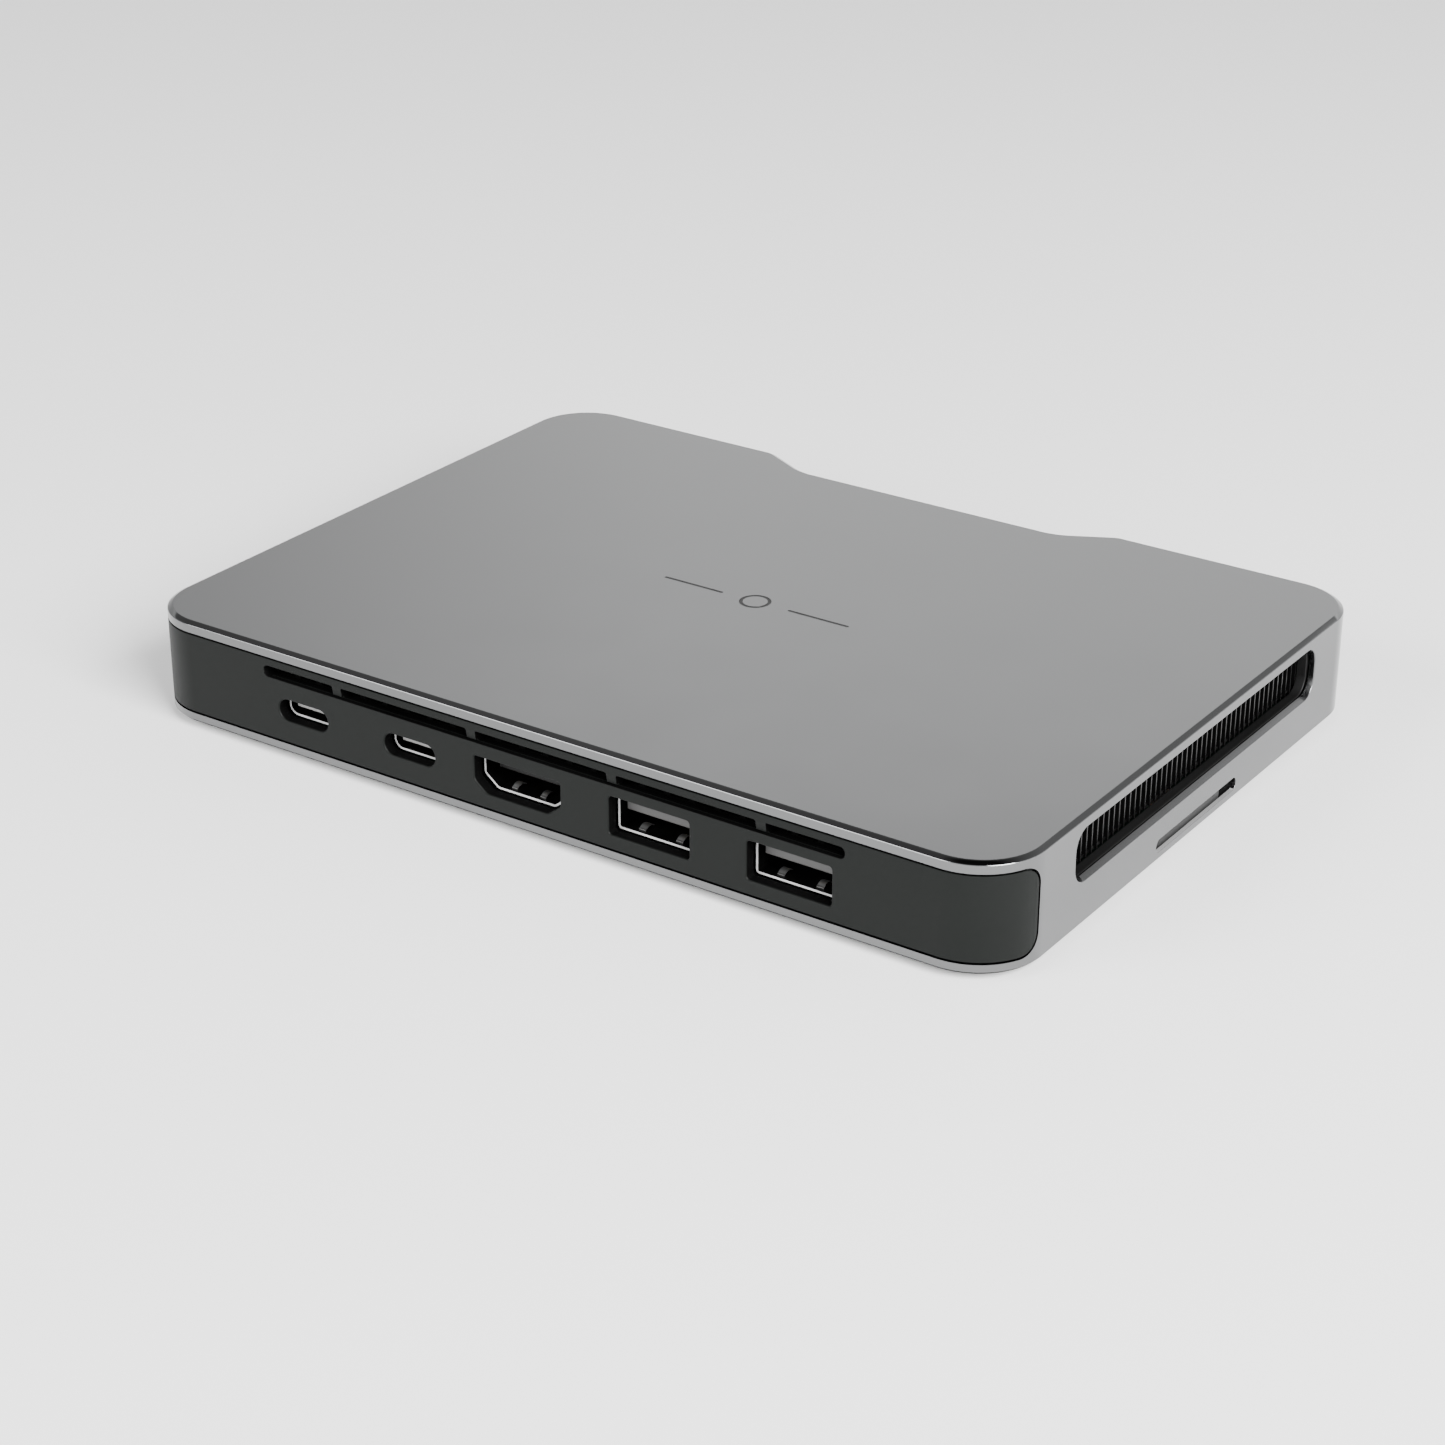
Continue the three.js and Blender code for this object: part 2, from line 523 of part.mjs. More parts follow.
const buttonIn = INNER_X - GAP - BUTTON.flange;       // inner face of the button's flange
const switchX = [-SWITCH.d, 0].map((d) => buttonIn - BUTTON_TRAVEL - SWITCH.gap + d);

// Room behind the button for its flange to travel in.
function buttonRoom(z0, z1) {
  const half = BUTTON.w / 2 + BUTTON.reach + 0.6;
  return box(buttonIn - BUTTON_TRAVEL - 0.5, CASE_W, BUTTON.y - half, BUTTON.y + half, z0, z1);
}

add('main_board', mainBoard(), ...BOARD_GREEN);

const onBoard = (x, y, w, d, t, r = 0.3) => prism(centred(x, y, w, d, r),
  up(BOARD_TOP + REST), up(BOARD_TOP + REST + t));
const chipTop = BOARD_TOP + REST + CHIP.t;
const plateZ = chipTop + REST + PAD_T + REST;

add('hub_chip', onBoard(CHIP.x, CHIP.y, CHIP.w, CHIP.w, CHIP.t), ...BLACK_PLASTIC);
add('power_chip', onBoard(-48, -22, 8, 8, 0.9), ...BLACK_PLASTIC);
add('memory_chip', onBoard(-32, -12, 12, 9, 0.9), ...BLACK_PLASTIC);
[[-50, -9], [-58, -22]].forEach(([x, y], i) => {
  add(`power_inductor_${i + 1}`, onBoard(x, y, 6.5, 6.5, 3, 0.8), ...STEEL);
});
add('thermal_pad', prism(centred(CHIP.x, CHIP.y, CHIP.w, CHIP.w, 0.5),
  up(chipTop + REST), up(chipTop + REST + PAD_T)), '#9aa7b5', 0.9);
add('cold_plate', cut(
  prism(centred(CHIP.x, CHIP.y, PLATE.w, PLATE.w, 2), up(plateZ), up(plateZ + PLATE.t)),
  ...plateCorners.map(([x, y]) => rod(x, y, SCREW_R + SCREW_GAP, up(plateZ - 1), up(plateZ + 2), 16)),
), ...COPPER);

// ---------------------------------------------------------------- connectors
// Folded sheet metal: open at the front, closed at the back.
function connectorShell(outer, inner, deep) {
  const back = CONNECTOR_Y + deep;
  return cut(prism(outer, CONNECTOR_Y, back, 'y'), prism(inner, CONNECTOR_Y - 1, back - SHEET, 'y'));
}

// A block at the back of the shell with a contact tongue standing forward from it.
function contactBlock(outline, x, z, [w, t], deep, setback, blockDeep) {
  const back = CONNECTOR_Y + deep - SHEET - REST;
  const tongue = prism(centred(x, z, w, t, 0.2), CONNECTOR_Y + setback, back - 0.5, 'y');
  return join(prism(outline, back - blockDeep, back, 'y'), tongue);
}

USB_C.xs.forEach((x, i) => {
  add(`usb_c_shell_${i + 1}`, connectorShell(usbC(x, 0), usbC(x, -SHEET), USB_C.deep), ...PLATED);
  add(`usb_c_tongue_${i + 1}`,
    contactBlock(usbC(x, -SHEET - REST), x, up(USB_C.z), USB_C.tongue, USB_C.deep, USB_C.back,
      USB_C.block),
    ...BLACK_PLASTIC);
  add(`usb_c_riser_${i + 1}`, box(x - USB_C.w / 2, x + USB_C.w / 2, CONNECTOR_Y + USB_C.riser,
    CONNECTOR_Y + USB_C.deep, up(BOARD_TOP + REST), up(USB_C.z - USB_C.h / 2 - REST)), ...BLACK_PLASTIC);
});

USB_A.xs.forEach((x, i) => {
  add(`usb_a_shell_${i + 1}`, connectorShell(usbA(x, 0), usbA(x, -SHEET), USB_A.deep), ...PLATED);
  add(`usb_a_tongue_${i + 1}`, contactBlock(usbA(x, -SHEET - REST), x, up(usbAZ + USB_A.lift),
    USB_A.tongue, USB_A.deep, USB_A.back, USB_A.block), ...BLACK_PLASTIC);
});

add('hdmi_shell', connectorShell(keyed(0), keyed(-SHEET), HDMI.deep), ...PLATED);
add('hdmi_tongue', contactBlock(keyed(-SHEET - REST), HDMI.x, up(hdmiZ + HDMI.lift), HDMI.tongue,
  HDMI.deep, HDMI.back, HDMI.block), ...BLACK_PLASTIC);

// A perforated strip behind the intake slots keeps dust out.
function dustScreen() {
  const y = [0, SCREEN.t].map((d) => FACE_Y + BEZEL_T + GAP + d);
  const half = WINDOW_W / 2 - SCREEN.end;
  const pitch = (2 * half - SCREEN.bars) / SCREEN.openings;
  const holes = Array.from({ length: SCREEN.openings }, (_, i) => {
    const x = -half + SCREEN.bars + i * pitch;
    return box(x, x + pitch - SCREEN.bars, y[0] - 1, y[1] + 1, up(SLOT_Z[0]), up(SLOT_Z[1]));
  });
  return cut(box(-half, half, ...y, up(SLOT_Z[0] - SCREEN.edge), up(WINDOW_Z[1] - GAP)), ...holes);
}

add('dust_screen', dustScreen(), ...BLACK_PLASTIC);

// ---------------------------------------------------------------- blower
const [backR, frontR] = FAN_CORNER_R;
const fanOutline = [
  [FAN_BACK_X, FAN_SIDE[0], backR], [FAN_FRONT, FAN_SIDE[0], frontR],
  [FAN_FRONT, FAN_SIDE[1], frontR], [FAN_BACK_X, FAN_SIDE[1], backR],
];

// The casing wall winds outwards from the cut-off, a quarter turn before the outlet side.
function volute() {
  const [first, last] = [Math.PI / 4, 1.5 * Math.PI];
  const wall = Array.from({ length: VOLUTE_STEPS + 1 }, (_, i) => {
    const angle = first + (last - first) * i / VOLUTE_STEPS;
    const r = FAN.cutoff + (FAN.last - FAN.cutoff) * i / VOLUTE_STEPS;
    return [FAN_X + r * Math.cos(angle), FAN_Y + r * Math.sin(angle), 0];
  });
  return [...wall, [FAN_FRONT + 1, OUTLET_Y[0], 0], [FAN_FRONT + 1, OUTLET_Y[1], 0]];
}

const earHole = ([x, y]) => rod(x, y, SCREW_R + SCREW_GAP, up(0), up(CASE_H), 16);
const ear = fanEars[2];

function inlet(z0, z1) {
  const spokes = Array.from({ length: INLET_SPOKES }, (_, i) => {
    const spoke = new THREE.BoxGeometry(INLET_R + 1, SPOKE_W, z1 - z0 + 4);
    spoke.translate((INLET_R + 1) / 2, 0, (z0 + z1) / 2);
    return manifold(spoke.rotateZ(i * 2 * Math.PI / INLET_SPOKES).translate(FAN_X, FAN_Y, 0));
  });
  return cut(rod(FAN_X, FAN_Y, INLET_R, z0, z1, 36),
    rod(FAN_X, FAN_Y, HUB.r, z0 - 1, z1 + 1, 36), ...spokes);
}

function fanHousing() {
  const [z0, z1] = FAN_Z.map(up);
  const floor = z0 + FAN.floor;
  const body = join(prism(fanOutline, z0, z1), rod(...ear, BOSS_R + FAN_EAR.rim, z0, z1));
  const carved = cut(body, prism(volute(), floor, z1 + 1), inlet(z0 - 1, floor + 1),
    ...fanEars.map(earHole));
  const post = rod(FAN_X, FAN_Y, HUB.post, z0, up(FAN_Z[0] + HUB.seat + HUB.postH));
  const bore = rod(FAN_X, FAN_Y, HUB.shaft + HUB.running, z0 + 0.5, up(CASE_H));
  return cut(join(carved, post), bore);
}

function fanCover() {
  const z = [up(FAN_Z[1] + REST), up(FAN_TOP)];
  return cut(
    join(prism(fanOutline, ...z), rod(...ear, BOSS_R + FAN_EAR.rim, ...z)),
    rod(FAN_X, FAN_Y, INLET_R, z[0] - 1, z[1] + 1, 36),
    ...fanEars.map(earHole));
}

// A cup over the coil, with a shaft in the post's bore, and curved blades round its rim.
function fanImpeller() {
  const top = up(FAN_Z[1] - ROTOR.air);
  const bottom = up(FAN_Z[0] + FAN.floor + ROTOR.air);
  const cup = turned([[0, top], [HUB.r, top], [HUB.r, bottom], [HUB.r - HUB.wall, bottom],
    [HUB.r - HUB.wall, top - HUB.wall], [0, top - HUB.wall]].reverse(), FAN_X, FAN_Y, 36);
  const shaft = rod(FAN_X, FAN_Y, HUB.shaft, up(FAN_Z[0] + 0.9), top - 0.2);
  const [ringIn, ringOut] = [HUB.r - 0.2, INLET_R + ROTOR.discSpare];
  const discTop = bottom + ROTOR.discT;
  const disc = turned([[ringIn, bottom], [ringOut, bottom], [ringOut, discTop],
    [ringIn, discTop], [ringIn, bottom]], FAN_X, FAN_Y, 36);
  const blades = Array.from({ length: BLADES }, (_, i) => {
    const { bend, lean, root, ease } = BLADE_CURVE;
    const tip = FAN.r - HUB.r;
    const middle = (tip + root) * bend;
    const arc = new THREE.Shape(rounded([
      [-root, -BLADE_T / 2, 0], [middle, -BLADE_T / 2, 0], [tip, lean, 0],
      [tip - 0.2, lean + BLADE_T, 0], [middle, BLADE_T / 2, 0], [-root, BLADE_T / 2, 0],
    ]));
    const blade = new THREE.ExtrudeGeometry(arc, { depth: top - bottom - ease, bevelEnabled: false });
    blade.translate(HUB.r, 0, bottom + ease / 2).rotateZ(i * 2 * Math.PI / BLADES);
    return manifold(blade.translate(FAN_X, FAN_Y, 0));
  });
  return join(cup, shaft, disc, ...blades);
}

function fanCoil() {
  const z = [up(FAN_Z[0] + FAN.floor + REST + 0.6), up(FAN_Z[0] + HUB.seat + HUB.postH - 0.4)];
  const inner = HUB.post + 0.3;
  const outer = HUB.r - HUB.wall - 0.6;
  return turned([[inner, z[0]], [outer, z[0]], [outer, z[1]], [inner, z[1]], [inner, z[0]]],
    FAN_X, FAN_Y, 30);
}

add('fan_housing', fanHousing(), ...BLACK_PLASTIC);
add('fan_cover', fanCover(), ...STEEL);
add('fan_impeller', fanImpeller(), '#1b1d20', 0.45);
add('fan_coil', fanCoil(), ...COPPER);

// ---------------------------------------------------------------- power button and its switch
// The slot holds the button and, past a small gap at its back end, the status light. Both have a
// flange behind the wall, so neither can fall out.
function slotPiece(from, to) {
  const w = BUTTON.w - 2 * BUTTON.gap;
  const h = BUTTON.h - 2 * BUTTON.gap;
  const face = prism(centred(BUTTON.y, up(BUTTON.z), w, h, h / 2 - 0.01),
    buttonIn, HALF_W - BUTTON.sink, 'x');
  const flange = prism(centred(BUTTON.y, up(BUTTON.z + 0.3), w + 2 * BUTTON.reach, h + 0.6, 0.3),
    buttonIn, buttonIn + BUTTON.flange, 'x');
  return join(face, flange).intersect(box(0, CASE_W, from, to, 0, up(CASE_H)));
}

function powerSwitch() {
  const pocket = SWITCH.plunger / 2 + REST;
  return cut(
    box(...switchX, SWITCH_Y - SWITCH.w / 2, SWITCH_Y + SWITCH.w / 2, ...SWITCH.z.map(up)),
    box(switchX[1] - SWITCH.pocket, switchX[1] + 1, SWITCH_Y - 2 * pocket, SWITCH_Y + 2 * pocket,
      up(BUTTON.z) - pocket + REST, up(BUTTON.z) + pocket + 2 * REST));
}

function switchPlunger() {
  const half = SWITCH.plunger / 2;
  return box(switchX[1] - SWITCH.pocket + BUTTON_TRAVEL + 0.3, buttonIn - REST,
    SWITCH_Y - 2 * half, SWITCH_Y + 2 * half,
    up(BUTTON.z) - half + 1.5 * REST, up(BUTTON.z) + half + 1.5 * REST);
}

add('power_button', slotPiece(-CASE_D, LIGHT_Y - BUTTON.gap), '#4a4b4c', 0.45, 1);
add('status_light', slotPiece(LIGHT_Y, CASE_D), '#0a0a0b', 0.15);
add('power_switch', powerSwitch(), ...STEEL);
add('switch_plunger', switchPlunger(), ...BLACK_PLASTIC);

// ---------------------------------------------------------------- bottom cover and feet
const feet = mirrored([
  [HALF_W - FOOT.edgeX, FOOT.edgeY - HALF_D],
  [HALF_W - FOOT.edgeX, HALF_D - FOOT.edgeY],
]);

function bottomCover() {
  const body = inside(GAP, up(0), up(COVER_T));
  const seats = feet.map(([x, y]) => prism(centred(x, y, FOOT.w + 2 * GAP, FOOT.d + 2 * GAP,
    FOOT.d / 2 + GAP - 0.01), up(-1), up(FOOT.seat)));
  const screwHoles = coverBosses.flatMap(([x, y]) => [
    rod(x, y, SCREW_R + SCREW_GAP, up(-1), up(COVER_T + 1), 16),
    rod(x, y, HEAD_R + SCREW_GAP, up(-1), up(HEAD_T + 0.1)),
  ]);
  return cut(body, buttonRoom(up(0.9), up(COVER_T + 1)), ...seats, ...screwHoles);
}

add('bottom_cover', bottomCover(), ...ALUMINIUM);
feet.forEach(([x, y], i) => {
  add(`foot_${i + 1}`, prism(centred(x, y, FOOT.w, FOOT.d, FOOT.d / 2 - 0.01),
    0, up(FOOT.seat - REST)), ...RUBBER);
});

// ---------------------------------------------------------------- screws
// A screw with its head's flat underside at z, pointing up or down.
function screw([x, y], z, length, direction = 1) {
  const s = (d) => up(z) + direction * d;
  const profile = [[0, s(-HEAD_T)], [HEAD_R - HEAD_EDGE, s(-HEAD_T)], [HEAD_R, s(-HEAD_T + HEAD_EDGE)],
    [HEAD_R, s(0)], [SCREW_R, s(0)], [SCREW_R, s(length)], [0, s(length)]];
  return turned(direction > 0 ? profile : profile.reverse(), x, y, 12);
}

coverBosses.forEach((at, i) => add(`cover_screw_${i + 1}`,
  screw(at, HEAD_T + 0.05, SCREW_L), ...STEEL));
boardBosses.forEach((at, i) => add(`board_screw_${i + 1}`,
  screw(at, BOARD_Z - REST, SCREW_L), ...STEEL));
fanEars.forEach((at, i) => add(`fan_screw_${i + 1}`,
  screw(at, FAN_Z[0] - REST, CEILING - FAN_Z[0]), ...STEEL));
plateCorners.forEach((at, i) => add(`plate_screw_${i + 1}`,
  screw(at, plateZ + PLATE.t + REST, plateZ + PLATE.t - BOARD_Z, -1), ...STEEL));

export default dock;
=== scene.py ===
# %% [markdown]
# # A laptop docking station
#
# This lesson finishes a flat aluminium docking station. The engineering model is already made and
# loads as a fixed frame: it says where every part is and how the button and the blower move. Here
# each part that can be seen gets its real surface, with soft edges, moulded detail and a finish.
#
# Everything is in metres, +Z is up, the ports face -Y and the exhaust faces +X.

# %% Load the fixed frame
import json
import math

import bpy
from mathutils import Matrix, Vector


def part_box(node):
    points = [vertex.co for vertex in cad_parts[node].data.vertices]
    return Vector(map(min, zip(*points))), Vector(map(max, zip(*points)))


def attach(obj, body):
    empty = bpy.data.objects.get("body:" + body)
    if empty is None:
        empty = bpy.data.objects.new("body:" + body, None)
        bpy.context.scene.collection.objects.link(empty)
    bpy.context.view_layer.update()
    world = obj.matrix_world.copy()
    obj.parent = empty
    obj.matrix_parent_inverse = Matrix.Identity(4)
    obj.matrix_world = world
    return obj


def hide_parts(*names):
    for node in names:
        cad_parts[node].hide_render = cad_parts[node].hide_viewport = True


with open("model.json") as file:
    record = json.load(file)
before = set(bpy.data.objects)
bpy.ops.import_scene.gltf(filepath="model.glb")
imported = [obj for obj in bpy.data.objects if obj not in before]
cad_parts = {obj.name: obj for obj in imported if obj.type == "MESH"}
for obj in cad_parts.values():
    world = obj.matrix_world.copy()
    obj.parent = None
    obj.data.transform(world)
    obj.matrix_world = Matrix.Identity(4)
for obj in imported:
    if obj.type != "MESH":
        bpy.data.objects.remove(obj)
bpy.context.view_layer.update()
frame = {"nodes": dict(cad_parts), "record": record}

MM = 0.001
CHASSIS = "chassis"

# %% [markdown]
# ## Tools for working the way a hand would
#
# An operator acts on everything that is selected, so each helper starts from nothing selected.
# `block` adds a cube at its size and place. `choose` opens a piece for editing with only the
# faces, edges or points that a test says yes to, which is the coded form of clicking on them.

# %% Select, add and settle
def deselect():
    if bpy.context.object and bpy.context.object.mode != "OBJECT":
        bpy.ops.object.mode_set(mode="OBJECT")
    bpy.ops.object.select_all(action="DESELECT")


def take(piece):
    deselect()
    piece.select_set(True)
    bpy.context.view_layer.objects.active = piece
    return piece


def settle(piece):
    """The piece's place goes into its mesh, and its object goes to the origin."""
    take(piece)
    bpy.ops.object.transform_apply(location=True, rotation=True, scale=True)
    return piece


def block(name, low, high):
    low, high = Vector(low), Vector(high)
    deselect()
    bpy.ops.mesh.primitive_cube_add(size=1, location=(low + high) / 2, scale=high - low)
    piece = bpy.context.object
    piece.name = name
    return settle(piece)


def choose(piece, kind, wanted):
    """Edit mode with only some elements selected. wanted gets a point, an edge's two ends, or a
    face's centre and normal."""
    take(piece)
    bpy.ops.object.mode_set(mode="EDIT")
    bpy.ops.mesh.select_mode(type=kind)
    bpy.ops.mesh.select_all(action="DESELECT")
    bpy.ops.object.mode_set(mode="OBJECT")
    mesh = piece.data
    points = mesh.vertices
    if kind == "VERT":
        for point in points:
            point.select = bool(wanted(point.co))
    elif kind == "EDGE":
        for edge in mesh.edges:
            edge.select = bool(wanted(*(points[i].co for i in edge.vertices)))
    else:
        for face in mesh.polygons:
            face.select = bool(wanted(face.center, face.normal))
    bpy.ops.object.mode_set(mode="EDIT")


def done():
    bpy.ops.object.mode_set(mode="OBJECT")


def along(axis, where=lambda middle: True):
    """A test for edges that run along an axis, and whose middle passes the test where."""
    def wanted(a, b):
        run = (b - a).normalized()
        return abs(run[axis]) > 0.999 and where((a + b) / 2)
    return wanted


def facing(direction, where=lambda centre: True):
    """A test for faces that look one way."""
    toward = Vector(direction)
    return lambda centre, normal: normal.dot(toward) > 0.99 and where(centre)


X, Y, Z = 0, 1, 2
print("axes:", X, Y, Z)

# %% [markdown]
# ## Rounding, cutting and finishing
#
# Three shaping steps repeat on this object. `soften` bevels chosen edges into round ones. `carve`
# is a boolean cut or join with a second solid, which is then thrown away. `shade` merges stray
# doubles and sets the shading: smooth over small angles, sharp over large ones, and weighted by
# face area so that the wide flat faces stay flat beside their narrow rounded edges. A piece can
# carry a second finish on some of its faces, and `paint` puts it there.

# %% Soften, carve, shade and paint
def soften(piece, radius, wanted, steps=8):
    choose(piece, "EDGE", wanted)
    bpy.ops.mesh.bevel(offset=radius, segments=steps, profile=0.5, affect="EDGES")
    done()
    return piece


def carve(piece, tool, operation="DIFFERENCE"):
    take(piece)
    bpy.ops.object.modifier_add(type="BOOLEAN")
    cut = piece.modifiers[-1]
    cut.operation = operation
    cut.solver = "EXACT"
    cut.object = tool
    bpy.ops.object.modifier_apply(modifier=cut.name)
    bpy.data.objects.remove(tool)
    return piece


def gather(name, pieces):
    """Several loose solids become one piece."""
    take(pieces[0])
    for piece in pieces[1:]:
        piece.select_set(True)
    bpy.ops.object.join()
    pieces[0].name = name
    return pieces[0]


def another(piece, shift, name="copy"):
    """A copy with its own mesh, moved along."""
    take(piece)
    bpy.ops.object.duplicate()
    twin = bpy.context.object
    twin.name = name
    twin.location = shift
    return settle(twin)


MERGE = 0.002 * MM
SMOOTH_UNDER = math.radians(40)


def shade(piece):
    choose(piece, "VERT", lambda point: True)
    bpy.ops.mesh.remove_doubles(threshold=MERGE)
    bpy.ops.mesh.normals_make_consistent(inside=False)
    done()
    bpy.ops.object.shade_smooth_by_angle(angle=SMOOTH_UNDER)
    bpy.ops.object.modifier_add(type="WEIGHTED_NORMAL")
    weighted = piece.modifiers[-1]
    weighted.keep_sharp = True
    bpy.ops.object.modifier_apply(modifier=weighted.name)
    return piece


def put_on(piece, finish, body, slot, *nodes):
    """The piece gets its finish, its body and the nodes that it stands for."""
    shade(piece)
    piece.data.materials.clear()
    piece.data.materials.append(finish)
    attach(piece, body)
    if nodes:
        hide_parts(*nodes)
    low, high = Vector(piece.bound_box[0]), Vector(piece.bound_box[6])
    size = [round(x / MM, 2) for x in high - low]
    print(f"{piece.name}: {len(piece.data.polygons)} faces, {size} mm")
    return piece


def paint(piece, finish, wanted):
    """Another finish on the faces that a test says yes to."""
    choose(piece, "FACE", wanted)
    piece.data.materials.append(finish)
    piece.active_material_index = len(piece.data.materials) - 1
    bpy.ops.object.material_slot_assign()
    done()
    return piece


print(f"doubles merge under {MERGE / MM} mm")

# %% [markdown]
# ## Holes with a rounded lip
#
# A milled or moulded hole never has a knife edge: its mouth is broken into a small round. The
# round could be bevelled after the cut, but bevels fail where a boolean leaves tiny faces. Here
# the tool itself carries the shape. It starts wide in front of the wall, steps inwards over a
# quarter circle, and goes straight on, so one clean cut leaves a hole with a rounded mouth.

# %% A tool that cuts a hole with a rounded lip
LIP_STEPS = 4


def lip_profile(radius):
    """Pairs of (inwards, deeper) that follow a quarter circle from the face into the hole."""
    turns = [math.radians(90) * i / LIP_STEPS for i in range(LIP_STEPS + 1)]
    return [(radius * (math.sin(b) - math.sin(a)), radius * (math.cos(a) - math.cos(b)))
            for a, b in zip(turns, turns[1:])]


def drive_in(tool, direction, lip, deep):
    """Sends the tool's inner end into the wall: round the lip first, then straight."""
    choose(tool, "FACE", facing(direction))
    for inwards, deeper in lip_profile(lip):
        bpy.ops.mesh.inset(thickness=inwards, depth=deeper, use_even_offset=True)
    bpy.ops.mesh.extrude_region_move(
        TRANSFORM_OT_translate={"value": Vector(direction) * (deep - lip)})
    done()
    return tool


def hole_tool(low, high, direction, radius, lip, deep, sides=8):
    """low and high are the hole's corners in the wall's face. radius is one corner radius, or a
    pair for the corners at the low and high end of the long way."""
    direction = Vector(direction)
    axis = max(range(3), key=lambda i: abs(direction[i]))
    long_way = X if axis == Y else Y
    low, high = Vector(low), Vector(high)
    grown = Vector((lip, lip, lip))
    start, end = low - grown, high + grown
    face = low[axis]
    front = face - direction[axis] * MM
    start[axis], end[axis] = min(face, front), max(face, front)
    tool = block("hole", start, end)
    middle = ((low + high) / 2)[long_way]
    for side, corner in zip((-1, 1), radius if isinstance(radius, tuple) else (radius, radius)):
        soften(tool, corner + lip, along(axis, lambda m: (m[long_way] - middle) * side > 0), sides)
    return drive_in(tool, direction, lip, deep)


print("lip:", [(round(a, 3), round(b, 3)) for a, b in lip_profile(1)])

# %% [markdown]
# ## Camera, floor and light
#
# The camera looks down at the front right corner from arm's length with a long lens, as for a
# catalogue. Satin metal shows what surrounds it more than its own colour. So the sky is a smooth
# band, bright at the horizon and dark overhead: the top plate then reads mid grey, its chamfers
# dark, and the upright walls mirror the pale floor. The sky fades towards -X, so that the far
# side stays calm. Two wide soft lamps stand on the camera's side, where the top plate doesn't
# mirror them.

# %% The camera
CAMERA_AIM = Vector((9.17, -21.8, 8.6)) * MM
CAMERA_DISTANCE = 447.81 * MM
CAMERA_AZIMUTH = math.radians(34.458)
CAMERA_ELEVATION = math.radians(25.683)
CAMERA_ROLL = math.radians(0.09)
LENS = 78.88  # focal length in mm
NEAREST_SEEN = 10 * MM


def look_from(azimuth, elevation):
    """The direction towards a viewer. The azimuth starts at -Y and turns towards +X."""
    flat = math.cos(elevation)
    return Vector((math.sin(azimuth) * flat, -math.cos(azimuth) * flat, math.sin(elevation)))


deselect()
bpy.ops.object.camera_add(
    location=CAMERA_AIM + look_from(CAMERA_AZIMUTH, CAMERA_ELEVATION) * CAMERA_DISTANCE,
    rotation=(math.pi / 2 - CAMERA_ELEVATION, 0, CAMERA_AZIMUTH))
camera = bpy.context.object
camera.rotation_euler.rotate_axis("Z", CAMERA_ROLL)
camera.data.lens = LENS
camera.data.clip_start = NEAREST_SEEN
bpy.context.scene.camera = camera
print("camera at", [round(x / MM, 1) for x in camera.location], "mm")

# %% The floor
FLOOR_SIZE = 6.0
FLOOR_GREY = 0.9

deselect()
bpy.ops.mesh.primitive_plane_add(size=FLOOR_SIZE)
floor = bpy.context.object
floor.name = "floor"
floor_paper = bpy.data.materials.new("floor_paper")
floor_paper.use_nodes = True
floor_shader = floor_paper.node_tree.nodes["Principled BSDF"]
floor_shader.inputs["Base Color"].default_value = (*[FLOOR_GREY] * 3, 1)
floor_shader.inputs["Roughness"].default_value = 0.9
floor_shader.inputs["Specular IOR Level"].default_value = 0.1
floor.data.materials.append(floor_paper)
print("floor:", FLOOR_SIZE, "m wide")

# %% The sky and the lamps
SKY = [(0.0, 0.85), (0.3, 0.6), (0.4, 0.62), (0.475, 0.88), (0.515, 0.2), (0.67, 0.19),
       (0.86, 0.11), (0.97, 0.008)]  # height of a direction, and its grey
SKY_GLOW = 3.0
SKY_FADE = (-0.68, -0.54)  # a direction's x where the fade ends, starts
SKY_FADED = 0.5  # how much of the glow is left past it
LAMPS = [(68, 34, 42.0), (-30, 28, 12.0)]  # azimuth, elevation, power
LAMP_DISTANCE, LAMP_SIZE = 1.1, 0.6

world = bpy.data.worlds.new("soft_sky")
bpy.context.scene.world = world
world.use_nodes = True
sky_nodes, sky_links = world.node_tree.nodes, world.node_tree.links
sky_place = sky_nodes.new("ShaderNodeTexCoord")
sky_parts = sky_nodes.new("ShaderNodeSeparateXYZ")
sky_ramp = sky_nodes.new("ShaderNodeValToRGB")
sky_links.new(sky_place.outputs["Generated"], sky_parts.inputs[0])
sky_links.new(sky_parts.outputs["Z"], sky_ramp.inputs[0])
sky_links.new(sky_ramp.outputs[0], sky_nodes["Background"].inputs["Color"])
sky_fade = sky_nodes.new("ShaderNodeMapRange")
sky_fade.inputs["From Min"].default_value = SKY_FADE[0]
sky_fade.inputs["From Max"].default_value = SKY_FADE[1]
sky_fade.inputs["To Min"].default_value = SKY_GLOW * SKY_FADED
sky_fade.inputs["To Max"].default_value = SKY_GLOW
sky_links.new(sky_parts.outputs["X"], sky_fade.inputs["Value"])
sky_links.new(sky_fade.outputs["Result"], sky_nodes["Background"].inputs["Strength"])
stops = sky_ramp.color_ramp.elements
for i, (height, glow) in enumerate(SKY):
    stop = stops[i] if i < 2 else stops.new(height)
    stop.position = height
    stop.color = (glow, glow, glow, 1)

for azimuth, elevation, power in LAMPS:
    toward = look_from(math.radians(azimuth), math.radians(elevation))
    deselect()
    bpy.ops.object.light_add(type="AREA", location=toward * LAMP_DISTANCE,
                             rotation=toward.to_track_quat("Z", "Y").to_euler())
    lamp = bpy.context.object
    lamp.data.size = LAMP_SIZE
    lamp.data.energy = power
print("lamps:", len(LAMPS))

